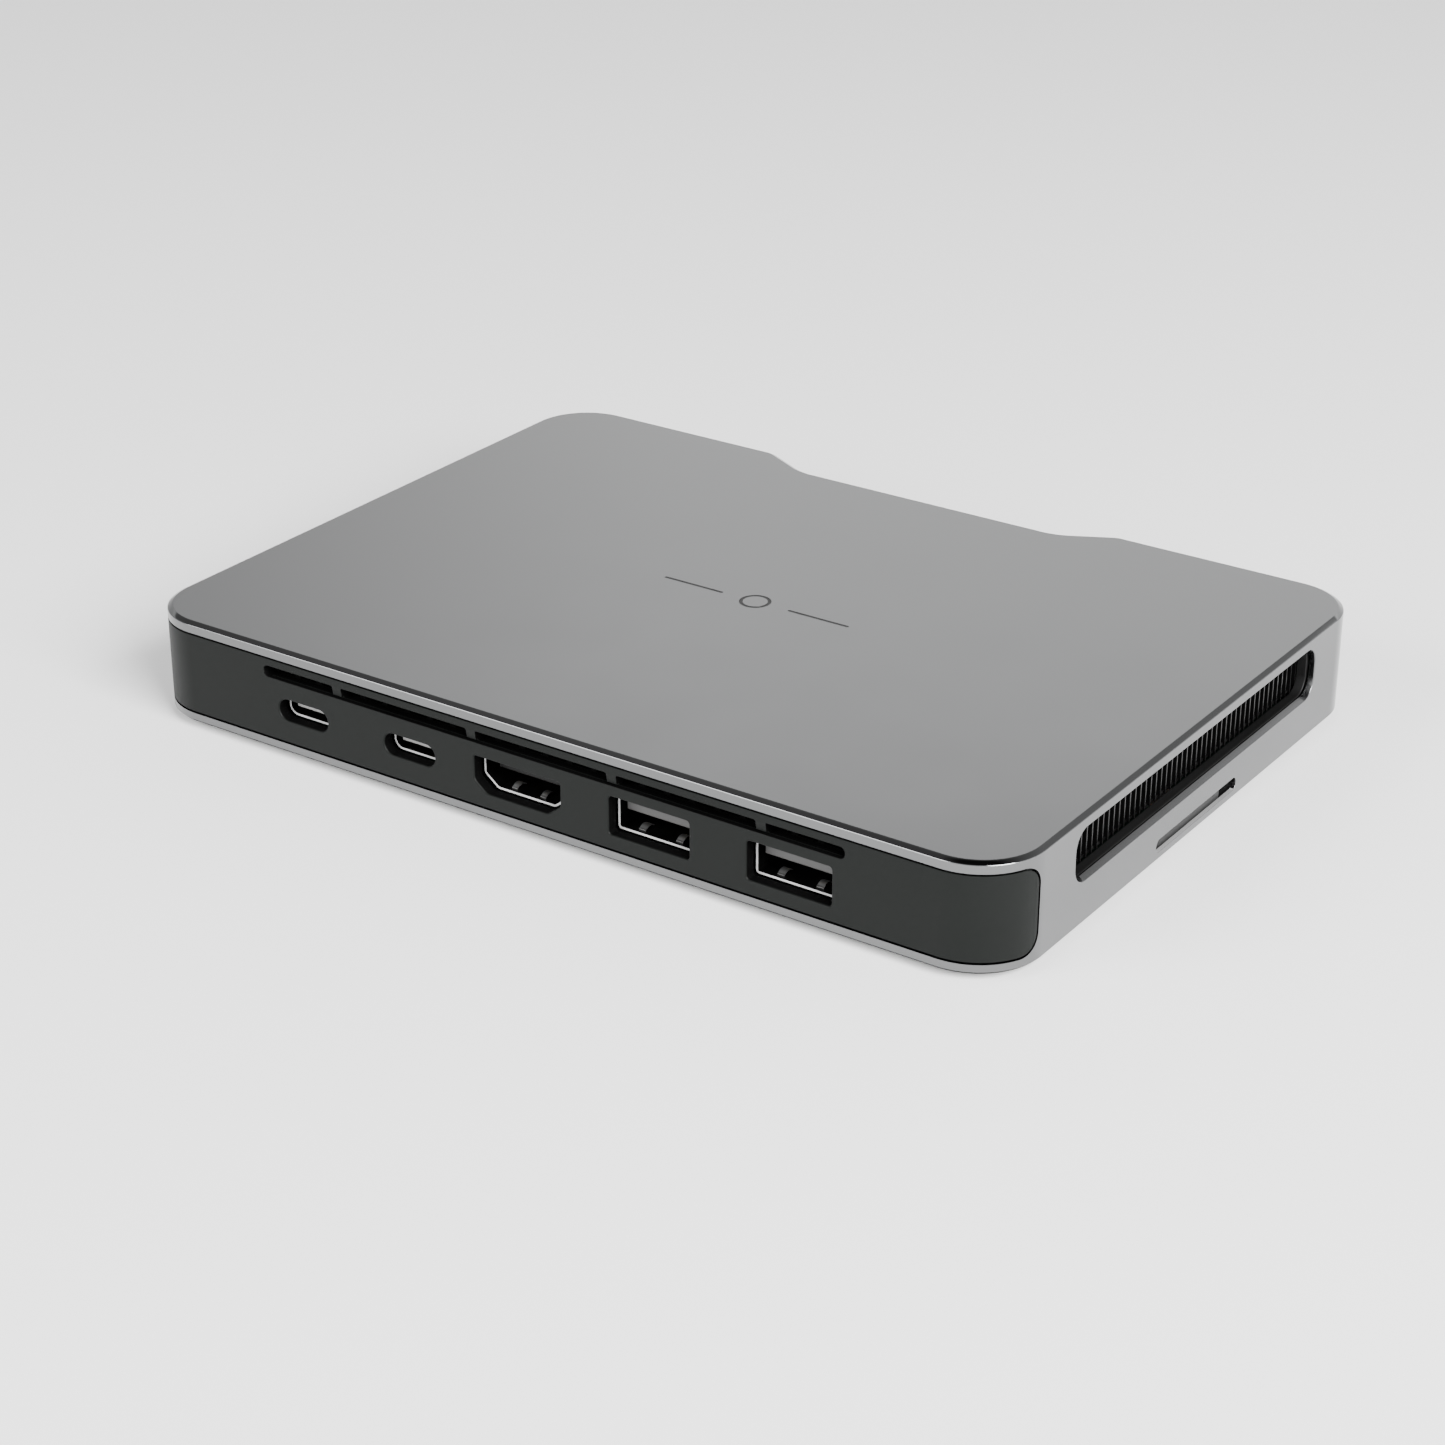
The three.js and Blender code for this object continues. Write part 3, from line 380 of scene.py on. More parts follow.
# %% [markdown]
# ## Finishes
#
# Each finish is a Principled shader with small procedural detail on object coordinates, so that it
# stays put when a part moves. `surface` makes the shared parts of all of them: two nearby colours
# mixed by a broad noise, a roughness that wanders a little as handled surfaces do, and a fine
# grain as bump. What is the same all over is set straight on the shader's own socket.
#
# One metal can need several finishes. The shell's chamfers are cut after anodising, so they are
# smoother than its faces. Other finishes are painted light and shade. The sheet of a connector
# gets a painted highlight at its cut rim, painted half shade on its rougher leaves, and near-black
# painted shade deep inside. The floor of the button slot gets a lighter diffuse grey as painted
# light. Slot and port walls, gaps and the case's bottom chamfer get a painted-shade black that
# swallows the light.

# %% The shared recipe
FINISHES = {}
NOISE_SPREAD = (0.3, 0.7)  # most of a noise lies between these


def surface(name, colours, roughness, metallic=0.0, grain=(5000, 0.1, 0.004), blotch=60, **extra):
    """colours is a pair. roughness is a low and a high. grain is its scale per metre, its
    strength and its depth in millimetres."""
    material = bpy.data.materials.new(name)
    material.use_nodes = True
    nodes, links = material.node_tree.nodes, material.node_tree.links
    shader = nodes["Principled BSDF"]
    place = nodes.new("ShaderNodeTexCoord").outputs["Object"]

    broad = nodes.new("ShaderNodeTexNoise")
    broad.inputs["Scale"].default_value = blotch
    broad.inputs["Detail"].default_value = 4
    links.new(place, broad.inputs["Vector"])
    tint = nodes.new("ShaderNodeValToRGB")
    for stop, colour, position in zip(tint.color_ramp.elements, colours, NOISE_SPREAD):
        stop.position = position
        stop.color = (*colour, 1)
    links.new(broad.outputs["Fac"], tint.inputs["Fac"])
    links.new(tint.outputs["Color"], shader.inputs["Base Color"])

    wander = nodes.new("ShaderNodeMapRange")
    for i, end in enumerate(("Min", "Max")):
        wander.inputs[f"From {end}"].default_value = NOISE_SPREAD[i]
        wander.inputs[f"To {end}"].default_value = roughness[i]
    links.new(broad.outputs["Fac"], wander.inputs["Value"])
    links.new(wander.outputs["Result"], shader.inputs["Roughness"])

    scale, strength, depth = grain
    fine = nodes.new("ShaderNodeTexNoise")
    fine.inputs["Scale"].default_value = scale
    fine.inputs["Detail"].default_value = 3
    links.new(place, fine.inputs["Vector"])
    bump = nodes.new("ShaderNodeBump")
    bump.inputs["Strength"].default_value = strength
    bump.inputs["Distance"].default_value = depth * MM
    links.new(fine.outputs["Fac"], bump.inputs["Height"])
    links.new(bump.outputs["Normal"], shader.inputs["Normal"])

    shader.inputs["Metallic"].default_value = metallic
    for socket, value in extra.items():
        shader.inputs[socket.replace("_", " ")].default_value = value
    FINISHES[name] = material
    return material


def grey(level, warm=0.0):
    return (level * (1 + warm), level, level * (1 - warm))


print("a warm grey:", grey(0.5, 0.01))

# %% Metals
SHELL_TINTS = (grey(0.152, -0.012), grey(0.16, -0.012))
anodised_shell = surface("anodised_shell", SHELL_TINTS, (0.2, 0.24), 1.0, grain=(7000, 0.1, 0.005))
cut_edge = surface("cut_edge", SHELL_TINTS, (0.08, 0.1), 1.0, grain=(7000, 0.05, 0.003))
# painted light: a lighter diffuse grey for the button slot's floor, in place of the shell's metal
slot_floor_painted_light = surface("slot_floor_painted_light", (grey(0.19), grey(0.21)), (0.4, 0.5),
                    grain=(7000, 0.2, 0.004), Specular_IOR_Level=0.3)
cover_metal = surface("cover_metal", (grey(0.15), grey(0.17)), (0.4, 0.48), 1.0,
                      grain=(7000, 0.3, 0.006))
fin_metal = surface("fin_metal", (grey(0.045), grey(0.055)), (0.3, 0.4), 1.0,
                    grain=(9000, 0.2, 0.004), blotch=400)
plated_steel = surface("plated_steel", (grey(0.5, 0.01), grey(0.56, 0.01)), (0.22, 0.32), 1.0,
                       grain=(3000, 0.15, 0.004), blotch=300)
surface("copper_part", ((0.62, 0.33, 0.2), (0.75, 0.43, 0.28)), (0.3, 0.42), 1.0,
        grain=(2500, 0.2, 0.006), blotch=200)
steel_part = surface("steel_part", (grey(0.4), grey(0.48)), (0.3, 0.4), 1.0,
                     grain=(2500, 0.2, 0.005), blotch=200)
button_metal = surface("button_metal", (grey(0.004), grey(0.006)), (0.3, 0.36), 1.0,
                       grain=(7000, 0.3, 0.005))
# painted highlight: a pale matte grey for the connectors' front rims, so they show as bright lines
rim_painted_highlight = surface("rim_painted_highlight", (grey(0.5), grey(0.56)), (0.4, 0.5),
                  grain=(3000, 0.1, 0.002), blotch=400)
# painted half shade: a darker copy of the plated steel for the spring leaves inside the ports
leaf_painted_shade = surface("leaf_painted_shade", (grey(0.25), grey(0.3)), (0.4, 0.5), 1.0,
                     grain=(3000, 0.15, 0.004), blotch=400)
shaded_metal = surface("shaded_metal", (grey(0.01), grey(0.016)), (0.45, 0.55), 1.0,
                       grain=(3000, 0.15, 0.004), blotch=400)
contact_gold = surface("contact_gold", ((0.75, 0.55, 0.25), (0.83, 0.62, 0.3)), (0.2, 0.3), 1.0,
                       grain=(3000, 0.1, 0.002), blotch=400)
print("metals:", ", ".join(FINISHES))

# %% Plastics, rubber and board
BEZEL_TINTS = ((0.0040, 0.0047, 0.0043), (0.0048, 0.0056, 0.0051))
bezel_plastic = surface("bezel_plastic", BEZEL_TINTS, (0.46, 0.54),
                        grain=(6500, 0.3, 0.006), Specular_IOR_Level=0.11)
# painted shade: a near black that reflects almost nothing, for hollows, gaps and shadow lines
painted_shade_black = surface("painted_shade_black", (grey(0.0012), grey(0.0018)), (0.6, 0.7),
                     grain=(4000, 0.3, 0.006), Specular_IOR_Level=0.03)
black_plastic = surface("black_plastic", (grey(0.003), grey(0.005)), (0.45, 0.55),
                        grain=(4000, 0.4, 0.008), Specular_IOR_Level=0.25)
tongue_plastic = surface("tongue_plastic", (grey(0.042, 0.01), grey(0.05, 0.01)), (0.4, 0.5),
                         grain=(4000, 0.3, 0.006), blotch=300)
# painted highlight: a pale grey for the nose of the small tongues
tongue_nose_painted_highlight = surface("tongue_nose_painted_highlight", (grey(0.24, 0.01), grey(0.28, 0.01)), (0.4, 0.5),
                       grain=(4000, 0.3, 0.006), blotch=300)
surface("rotor_plastic", (grey(0.01), grey(0.015)), (0.4, 0.5),
        grain=(3500, 0.3, 0.006), Specular_IOR_Level=0.3)
mark_ink = surface("mark_ink", (grey(0.012), grey(0.016)), (0.5, 0.6),
                   grain=(5000, 0.3, 0.004), Specular_IOR_Level=0.3)
# painted shade: the status lens is near black and reflects almost nothing, so the pill's back end
# reads as shade
light_lens = surface("light_lens", (grey(0.0012), grey(0.0018)), (0.12, 0.16),
                     grain=(1500, 0.05, 0.002), Specular_IOR_Level=0.002)
surface("chip_package", (grey(0.02), grey(0.03)), (0.5, 0.6), grain=(5000, 0.5, 0.01))
rubber_foot = surface("rubber_foot", (grey(0.012), grey(0.02)), (0.75, 0.85),
                      grain=(3000, 0.5, 0.015))
surface("pad_silicone", ((0.5, 0.55, 0.6), (0.56, 0.61, 0.67)), (0.7, 0.8),
        grain=(2500, 0.4, 0.01))
surface("board_laminate", ((0.002, 0.005, 0.003), (0.003, 0.008, 0.005)), (0.45, 0.6),
        grain=(1500, 0.4, 0.01), blotch=900, Specular_IOR_Level=0.1)
FINISHES["contact_plastic"] = tongue_plastic
print("finishes:", len(FINISHES))

# %% [markdown]
# ## Parts that keep their engineering shape
#
# The board, the blower and the screws inside already have their right form. They only need a
# finish. The record says which material slot each node has, so one loop dresses all of them.

# %% Dress every node by its slot
for subpart in frame["record"]["subparts"]:
    node = frame["nodes"][subpart["node"]]
    node.data.materials.clear()
    node.data.materials.append(FINISHES[subpart["material_slot"]])
# The screen behind the intake slots is painted shade black, so that it can't be seen through them.
frame["nodes"]["dust_screen"].data.materials[0] = painted_shade_black

# %% [markdown]
# ## The case outline
#
# Shell, core and bottom cover all follow one plan: a rectangle with round corners and a shallow
# finger notch in the back edge. Drawing it as a curve would do, but a block worked by hand shows
# the order of a machinist. The corners are rounded, two cuts mark the notch, its back face is
# pushed in, the spare cut lines are dissolved, and the four corners of the notch are rounded.
# A margin shrinks the same plan evenly, and moves the notch's corners along as an offset would.

# %% Sizes of the case
shell_low, shell_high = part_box("top_shell")
HALF_W, HALF_D = shell_high.x, shell_high.y
FACE_Y = -HALF_D
CASE_LOW, CASE_HIGH = shell_low.z, shell_high.z
CORNER_R = 9.8 * MM
CORNER_STEPS = 24
NOTCH_DEPTH = 4.45 * MM
NOTCH_HALF = 23.4 * MM
NOTCH_RUN = 8.5 * MM
NOTCH_INNER_R, NOTCH_OUTER_R = 8 * MM, 3 * MM
NOTCH_TURN = math.atan2(NOTCH_DEPTH, NOTCH_RUN)
NEAR = 0.01 * MM
print("case:", [round(2 * x / MM, 1) for x in (HALF_W, HALF_D)], "mm in plan")

# %% A block with the case's plan
def plan_block(name, margin, low_z, high_z):
    reach = math.tan(NOTCH_TURN / 2)
    inner = NOTCH_HALF + margin * reach
    outer = inner + NOTCH_RUN
    back = HALF_D - margin
    piece = block(name, (margin - HALF_W, margin - HALF_D, low_z), (HALF_W - margin, back, high_z))
    soften(piece, CORNER_R - margin, along(Z), CORNER_STEPS)
    for place in (-outer, -inner, inner, outer):
        choose(piece, "FACE", lambda centre, normal: True)
        bpy.ops.mesh.bisect(plane_co=(place, 0, 0), plane_no=(1, 0, 0))
        done()
    choose(piece, "VERT", lambda p: abs(p.x) < inner + NEAR and p.y > back - NEAR)
    bpy.ops.transform.translate(value=(0, -NOTCH_DEPTH, 0))
    done()

    def spare(a, b):
        middle = (a + b) / 2
        on_a_cut = min(abs(abs(middle.x) - inner), abs(abs(middle.x) - outer)) < NEAR
        return on_a_cut and abs(a.x - b.x) < NEAR and middle.y < back - 2 * NOTCH_DEPTH
    choose(piece, "EDGE", spare)
    bpy.ops.mesh.dissolve_edges(use_verts=True)
    done()
    for corner_x, corner_y, radius in (
            (inner, back - NOTCH_DEPTH, NOTCH_INNER_R + margin),
            (outer, back, max(NOTCH_OUTER_R - margin, NEAR))):
        soften(piece, radius * reach, along(Z, lambda m: abs(abs(m.x) - corner_x) < NEAR
                                            and abs(m.y - corner_y) < NEAR), 6)
    return piece


print(f"each ramp of the notch turns {math.degrees(NOTCH_TURN):.1f} degrees")

# %% [markdown]
# ## The top shell
#
# The shell is milled from one aluminium block. The top edge has a wide shallow chamfer and the
# bottom edge a small one, made here by insetting the end face and moving it. The chamfer's two
# ridges get a hair of rounding. Then the inside is cut out, in two steps because the front wall
# is thicker to back the port bezel.

# %% The shell's outside
TOP_CHAMFER = (0.8 * MM, 0.4 * MM)
BOTTOM_CHAMFER = 0.35 * MM
RIDGE = 0.12 * MM

shell = plan_block("top_shell_skin", 0, CASE_LOW + BOTTOM_CHAMFER, CASE_HIGH - TOP_CHAMFER[1])
for direction, across, rise in ((1, *TOP_CHAMFER), (-1, BOTTOM_CHAMFER, BOTTOM_CHAMFER)):
    choose(shell, "FACE", facing((0, 0, direction)))
    bpy.ops.mesh.inset(thickness=across, use_even_offset=True)
    bpy.ops.transform.translate(value=(0, 0, direction * rise))
    done()


def ridge(a, b):
    flat = abs(a.z - b.z) < NEAR
    return flat and (abs(a.z - CASE_HIGH) < NEAR or abs(a.z - CASE_HIGH + TOP_CHAMFER[1]) < NEAR)


choose(shell, "EDGE", ridge)
bpy.ops.mesh.bevel(offset=RIDGE, segments=2, profile=0.5, affect="EDGES")
done()
print("outside:", len(shell.data.polygons), "faces")

# %% The shell's inside
WALL = 2 * MM
TOP_T = 1.3 * MM
CEILING = CASE_HIGH - TOP_T
BEZEL_T = 1.8 * MM
GAP = 0.3 * MM
BACKING = 1.3 * MM
BELOW = CASE_LOW - 5 * MM

carve(shell, plan_block("front_core", BEZEL_T + GAP + BACKING, BELOW, CEILING))
back_core = plan_block("back_core", WALL, BELOW, CEILING)
choose(back_core, "FACE", lambda centre, normal: True)
bezel_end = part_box("port_bezel")[1].y
bpy.ops.mesh.bisect(plane_co=(0, bezel_end + GAP + BACKING, 0), plane_no=(0, 1, 0),
                    use_fill=True, clear_inner=True)
done()
carve(shell, back_core)
print("hollowed:", len(shell.data.polygons), "faces")

# %% [markdown]
# ## A band round the front
#
# The port bezel lies flush in a recess that runs across the front and round both corners. Bezel
# and recess are the same band, the recess a gap larger. The band starts as the case's own rounded
# block with its lid, floor and back taken off, is given thickness inwards, and is trimmed by a
# solid with the bezel's side view, whose back corners are round.

# %% Make a band
bezel_low, bezel_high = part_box("port_bezel")
BEZEL_END_R = 2.75 * MM


def front_band(name, proud, depth, spare):
    """proud is how far it stands out of the case's face, depth how far it goes in, and spare how
    much larger it is than the bezel above, below and at its ends."""
    band = block(name, (-HALF_W - proud, FACE_Y - proud, CASE_LOW), (HALF_W + proud, 0, CASE_HIGH))
    soften(band, CORNER_R + proud, along(Z, lambda m: m.y < FACE_Y / 2), CORNER_STEPS)
    choose(band, "FACE", lambda centre, normal: abs(normal.z) > 0.5 or normal.y > 0.5)
    bpy.ops.mesh.delete(type="FACE")
    done()
    bpy.ops.object.modifier_add(type="SOLIDIFY")
    skin = band.modifiers[-1]
    skin.thickness = proud + depth
    skin.offset = -1
    skin.use_even_offset = True
    bpy.ops.object.modifier_apply(modifier=skin.name)
    side_view = block("side_view", (-2 * HALF_W, 2 * FACE_Y, bezel_low.z - spare),
                      (2 * HALF_W, bezel_high.y + spare, bezel_high.z + spare))
    soften(side_view, BEZEL_END_R + spare, along(X, lambda m: m.y > FACE_Y), 12)
    return carve(band, side_view, "INTERSECT")


carve(shell, front_band("recess", MM, BEZEL_T + GAP, GAP))

WINDOW_HALF = 54 * MM
WINDOW_Z = (CASE_LOW + 2.5 * MM, CEILING - 0.8 * MM)
WINDOW_DEEP = 5 * MM
carve(shell, block("window", (-WINDOW_HALF, FACE_Y, WINDOW_Z[0]),
                   (WINDOW_HALF, FACE_Y + WINDOW_DEEP, WINDOW_Z[1])))
print("recessed:", len(shell.data.polygons), "faces")

# %% [markdown]
# ## Vent mouth and button slot
#
# The exhaust leaves through a wide round-ended mouth in the right wall. Its lower edge slopes up
# like a window sill, so dust falls outwards: the tool's lower half is raised once it is a little
# way in, and then goes straight on. Behind the thin metal rim sits a pocket for the plastic frame.
# Below it a slim slot holds the power button.

# %% Cut the vent mouth
INWARDS = (-1, 0, 0)
VENT_RIM = 0.9 * MM
VENT_LIP = 0.3 * MM
VENT_R = 2.75 * MM
VENT_EDGE = 0.15 * MM
SILL = (0.8 * MM, 0.43 * MM)  # deep, high
SILL_TO_INSIDE = 2 * MM
POCKET_DEEP = 3 * MM
frame_low, frame_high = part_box("vent_frame")
fin_low, fin_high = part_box("fin_stack")
mouth_low = Vector((HALF_W, fin_low.y - VENT_LIP, fin_low.z - VENT_LIP))
mouth_high = Vector((HALF_W, fin_high.y + VENT_LIP, fin_high.z + VENT_LIP))
mouth = hole_tool(mouth_low, mouth_high, INWARDS, VENT_R, VENT_EDGE, SILL[0], 12)
sill_x = HALF_W - SILL[0] + NEAR
choose(mouth, "VERT", lambda p: p.x < sill_x and 2 * p.z < mouth_low.z + mouth_high.z)
bpy.ops.transform.translate(value=(0, 0, SILL[1]))
done()
choose(mouth, "FACE", facing(INWARDS, lambda centre: centre.x < sill_x))
bpy.ops.mesh.extrude_region_move(TRANSFORM_OT_translate={"value": (-SILL_TO_INSIDE, 0, 0)})
done()
carve(shell, mouth)
carve(shell, block("frame_pocket", (HALF_W - POCKET_DEEP, frame_low.y - GAP, frame_low.z - GAP),
                   (HALF_W - VENT_RIM, frame_high.y + GAP, CEILING)))
print("vent cut:", len(shell.data.polygons), "faces")

# %% Cut the button slot
BUTTON_GAP = 0.07 * MM
BUTTON_EDGE = 0.06 * MM
BUTTON_H = 1.93 * MM
BUTTON_W = 23.9 * MM
ROUND_END = 0.49  # of a slot's height: almost a half circle
BUTTON_MIDDLE = Vector((HALF_W, 0.05 * MM, CASE_LOW + 2.26 * MM))
slot_reach = Vector((0, BUTTON_W / 2, BUTTON_H / 2))
carve(shell, hole_tool(BUTTON_MIDDLE - slot_reach, BUTTON_MIDDLE + slot_reach, INWARDS,
                       ROUND_END * BUTTON_H, BUTTON_EDGE, POCKET_DEEP, 10))
print("slot cut:", len(shell.data.polygons), "faces")

# %% [markdown]
# ## A plain ornament on the lid
#
# A lid this wide looks unfinished when it is bare, so a small ornament is engraved in its middle:
# a ring between two short bars. Lettering would say whose it is, and a plain sign does not. The
# grooves are cut first, and a dark inlay lies a little lower in each, so nothing stands proud.
# Then the shell gets its finishes: a second one on the top chamfers, a lighter diffuse grey on the
# slot's floor as painted light, and painted shade black on the bottom chamfer.

# %% The shapes of the ornament
MARK_DEEP = 0.12 * MM
MARK_SUNK = 0.04 * MM
BAR = (10.5 * MM, 0.55 * MM)
BAR_AT = 11 * MM
RING_R = (1.85 * MM, 2.4 * MM)
RING_SIDES = 48


def bar_shape(name, x, low_z, high_z):
    long, thin = BAR
    piece = block(name, (x - long / 2, -thin / 2, low_z), (x + long / 2, thin / 2, high_z))
    return soften(piece, ROUND_END * thin, along(Z), 6)


def ring_shape(name, low_z, high_z):
    """A disc whose middle is opened by a second, smaller one."""
    discs = []
    for radius, spare in zip(RING_R, (MM, 0)):
        deselect()
        bpy.ops.mesh.primitive_cylinder_add(vertices=RING_SIDES, radius=radius,
                                            depth=high_z - low_z + spare,
                                            location=(0, 0, (low_z + high_z) / 2))
        discs.append(settle(bpy.context.object))
    inner, outer = discs
    outer.name = name
    return carve(outer, inner)


def ornament(name, low_z, high_z):
    """The two bars and the ring, still loose."""
    return [bar_shape(name, -BAR_AT, low_z, high_z), bar_shape(name, BAR_AT, low_z, high_z),
            ring_shape(name, low_z, high_z)]


print(f"ornament: {2 * (BAR_AT + BAR[0] / 2) / MM:.1f} mm long")

# %% Engrave it and lay in the dark filling
for groove in ornament("groove", CASE_HIGH - MARK_DEEP, CASE_HIGH + MM):
    carve(shell, groove)
mark = gather("lid_ornament", ornament("inlay", CASE_HIGH - MARK_DEEP, CASE_HIGH - MARK_SUNK))
put_on(mark, mark_ink, CHASSIS, "black_plastic")

# %% Finish the shell
LEVEL = 0.9  # a face looks along an axis if its normal has more than this that way
TOP_SLOPE = (0.6, 0.97)  # a normal's z on the top chamfer
BOTTOM_SLOPE = (-0.9, -0.5)  # and on the bottom one
SLOT_SPARE = Vector((0, 0.15, 0.15)) * MM  # the slot's floor lies within this of it

put_on(shell, anodised_shell, CHASSIS, "anodised_shell", "top_shell")
slot_low, slot_high = (BUTTON_MIDDLE + side * (slot_reach + SLOT_SPARE) for side in (-1, 1))
# painted light on the slot's flat floor
paint(shell, slot_floor_painted_light, lambda centre, normal: normal.z > LEVEL and centre.x > HALF_W - WALL
      and slot_low.y < centre.y < slot_high.y and slot_low.z < centre.z < slot_high.z)
paint(shell, cut_edge, lambda centre, normal: centre.z > CASE_HIGH - TOP_CHAMFER[1]
      and TOP_SLOPE[0] < normal.z < TOP_SLOPE[1])
# painted shade: the bottom chamfer is painted black as the shadow line where the case meets the
# floor
paint(shell, painted_shade_black, lambda centre, normal: centre.z < CASE_LOW + BOTTOM_CHAMFER
      and BOTTOM_SLOPE[0] < normal.z < BOTTOM_SLOPE[1])

# %% [markdown]
# ## The port bezel
#
# One dark moulding holds the five ports and, above them, a row of five intake slots. Only the
# outer ends of the row are fully round. The ribs between the slots lean back a little towards a
# thin groove along the row's lower edge, which is what gives them their soft shading.

# %% The band and its intake slots
SLOT_LOW, SLOT_HIGH = CASE_HIGH - 4.7 * MM, CASE_HIGH - 3.05 * MM
SLOT_START = -49 * MM
SLOT_WIDTHS = [w * MM for w in (12.75, 22.5, 22.3, 22.4, 12.2)]
RIB = 1.55 * MM
SLOT_END_R, SLOT_CORNER_R = 0.8 * MM, 0.3 * MM
SLOT_LIP = 0.12 * MM
THROUGH = 3 * MM
INTO = (0, 1, 0)
BEZEL_EDGE = 0.1 * MM
SHARP = math.radians(60)
RIB_BACK = (0.08 * MM, 0.3 * MM)  # at a rib's top, and how much more at its foot
GROOVE = (0.22 * MM, 0.8 * MM)  # high, deep
GROOVE_BELOW = 0.05 * MM  # how far it reaches under the slots

bezel = front_band("port_bezel_skin", 0, BEZEL_T, 0)
choose(bezel, "EDGE", lambda a, b: False)
bpy.ops.mesh.edges_select_sharp(sharpness=SHARP)
bpy.ops.mesh.bevel(offset=BEZEL_EDGE, segments=2, profile=0.5, affect="EDGES")
done()

start = SLOT_START
for i, width in enumerate(SLOT_WIDTHS):
    ends = (SLOT_END_R if i == 0 else SLOT_CORNER_R,
            SLOT_END_R if i == len(SLOT_WIDTHS) - 1 else SLOT_CORNER_R)
    carve(bezel, hole_tool((start, FACE_Y, SLOT_LOW), (start + width, FACE_Y, SLOT_HIGH), INTO,
                           ends, SLOT_LIP, THROUGH, 8))
    start += width + RIB
SLOT_END = start - RIB
print("slots end at", round(SLOT_END / MM, 2), "mm")

# %% Lean the ribs back and cut the groove
lean = block("rib_lean", (SLOT_START + SLOT_END_R, FACE_Y - MM, SLOT_LOW),
             (SLOT_END - SLOT_END_R, FACE_Y + RIB_BACK[0], SLOT_HIGH))
choose(lean, "VERT", lambda p: p.y > FACE_Y and p.z < SLOT_LOW + NEAR)
bpy.ops.transform.translate(value=(0, RIB_BACK[1], 0))
done()
carve(bezel, lean)
carve(bezel, block("groove", (SLOT_START + SLOT_END_R, FACE_Y - MM, SLOT_LOW - GROOVE_BELOW),
                   (SLOT_END - SLOT_END_R, FACE_Y + GROOVE[1], SLOT_LOW + GROOVE[0])))
print("slots cut:", len(bezel.data.polygons), "faces")

# %% [markdown]
# ## Five port openings
#
# Each opening is a little larger than its connector. The two small ports are stadiums, the two
# tall ones are rectangles, and the video port has its lower corners cut off. The walls of ports
# and slots are painted black at the end as painted shade, so that only the connectors show in them.

# %% Cut the ports
PORT_CLEARANCE = 0.1 * MM
PORT_LIP = 0.25 * MM
TALL_R = 0.55 * MM
VIDEO_R = 0.3 * MM
VIDEO_SHOULDER = 1.85 * MM  # how high its cut corners reach
VIDEO_FOOT = 4.7 * MM  # how much narrower the foot is than the top


def opening(node):
    """The lowest and highest corner of a connector's opening, in the bezel's face."""
    low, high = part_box(node)
    grown = Vector((PORT_CLEARANCE, 0, PORT_CLEARANCE))
    low, high = low - grown, high + grown
    low.y = high.y = FACE_Y
    return low, high


for node in ("usb_c_shell_1", "usb_c_shell_2"):
    low, high = opening(node)
    carve(bezel, hole_tool(low, high, INTO, ROUND_END * (high.z - low.z), PORT_LIP, THROUGH, 12))
for node in ("usb_a_shell_1", "usb_a_shell_2"):
    carve(bezel, hole_tool(*opening(node), INTO, TALL_R, PORT_LIP, THROUGH, 8))
print("four ports cut:", len(bezel.data.polygons), "faces")

# %% Cut the video port and finish the bezel
STEEP = 0.25  # a slot wall's normal has more than this in z
FACING_FRONT = 0.7  # and a front face's more than this in y


def video_block(name, low, high, corner):
    """A block along Y whose lower corners are cut off, with its six corners rounded."""
    piece = block(name, low, high)
    middle = (low.x + high.x) / 2
    choose(piece, "FACE", lambda centre, normal: True)
    bpy.ops.mesh.bisect(plane_co=(0, 0, low.z + VIDEO_SHOULDER), plane_no=(0, 0, 1))
    done()
    for side in (-1, 1):
        choose(piece, "VERT", lambda p: p.z < low.z + NEAR and (p.x - middle) * side > 0)
        bpy.ops.transform.translate(value=(-side * VIDEO_FOOT / 2, 0, 0))
        done()
    return soften(piece, corner, along(Y), 5)


low, high = opening("hdmi_shell")
grown = Vector((PORT_LIP, 0, PORT_LIP))
low, high = low - grown, high + grown
low.y = FACE_Y - MM
video_tool = video_block("video_hole", low, high, VIDEO_R + PORT_LIP)
carve(bezel, drive_in(video_tool, INTO, PORT_LIP, THROUGH))
put_on(bezel, bezel_plastic, CHASSIS, "bezel_plastic", "port_bezel")
# painted shade: the walls of the ports and of the intake slots are painted black
paint(bezel, painted_shade_black, lambda centre, normal: centre.y > FACE_Y + PORT_LIP + NEAR
      and abs(centre.x) < WINDOW_HALF and abs(normal.y) < FACING_FRONT)
paint(bezel, painted_shade_black, lambda centre, normal: centre.y > FACE_Y + NEAR
      and abs(normal.z) > STEEP and SLOT_LOW - GROOVE[0] < centre.z < SLOT_HIGH + GROOVE[0]
      and SLOT_START - MM < centre.x < SLOT_END + MM)

# %% [markdown]
# ## Connector shells
#
# A receptacle is a tube of thin plated sheet, closed at the back. Its front edge gets a painted
# highlight, a bright line just behind the bezel, and the sheet further in gets painted shade. A
# solid block with the right outline is opened by insetting its front face by the sheet's thickness
# and pushing that face to the back. The tall ports also have spring leaves, pressed out of the
# sheet, that grip the plug from below and above. A leaf is drawn step by step: each extrusion goes
# a little further back and follows a low bow.

# %% Tubes of sheet and their spring leaves
SHEET = 0.3 * MM
RIM = 0.04 * MM
LEAF_T = 0.16 * MM
LEAF_STEPS = 8
LEAF_START = 3.0 * MM  # behind the bezel's face
LEAF_LONG = 2.0 * MM
LEAF_BOW = 0.4 * MM


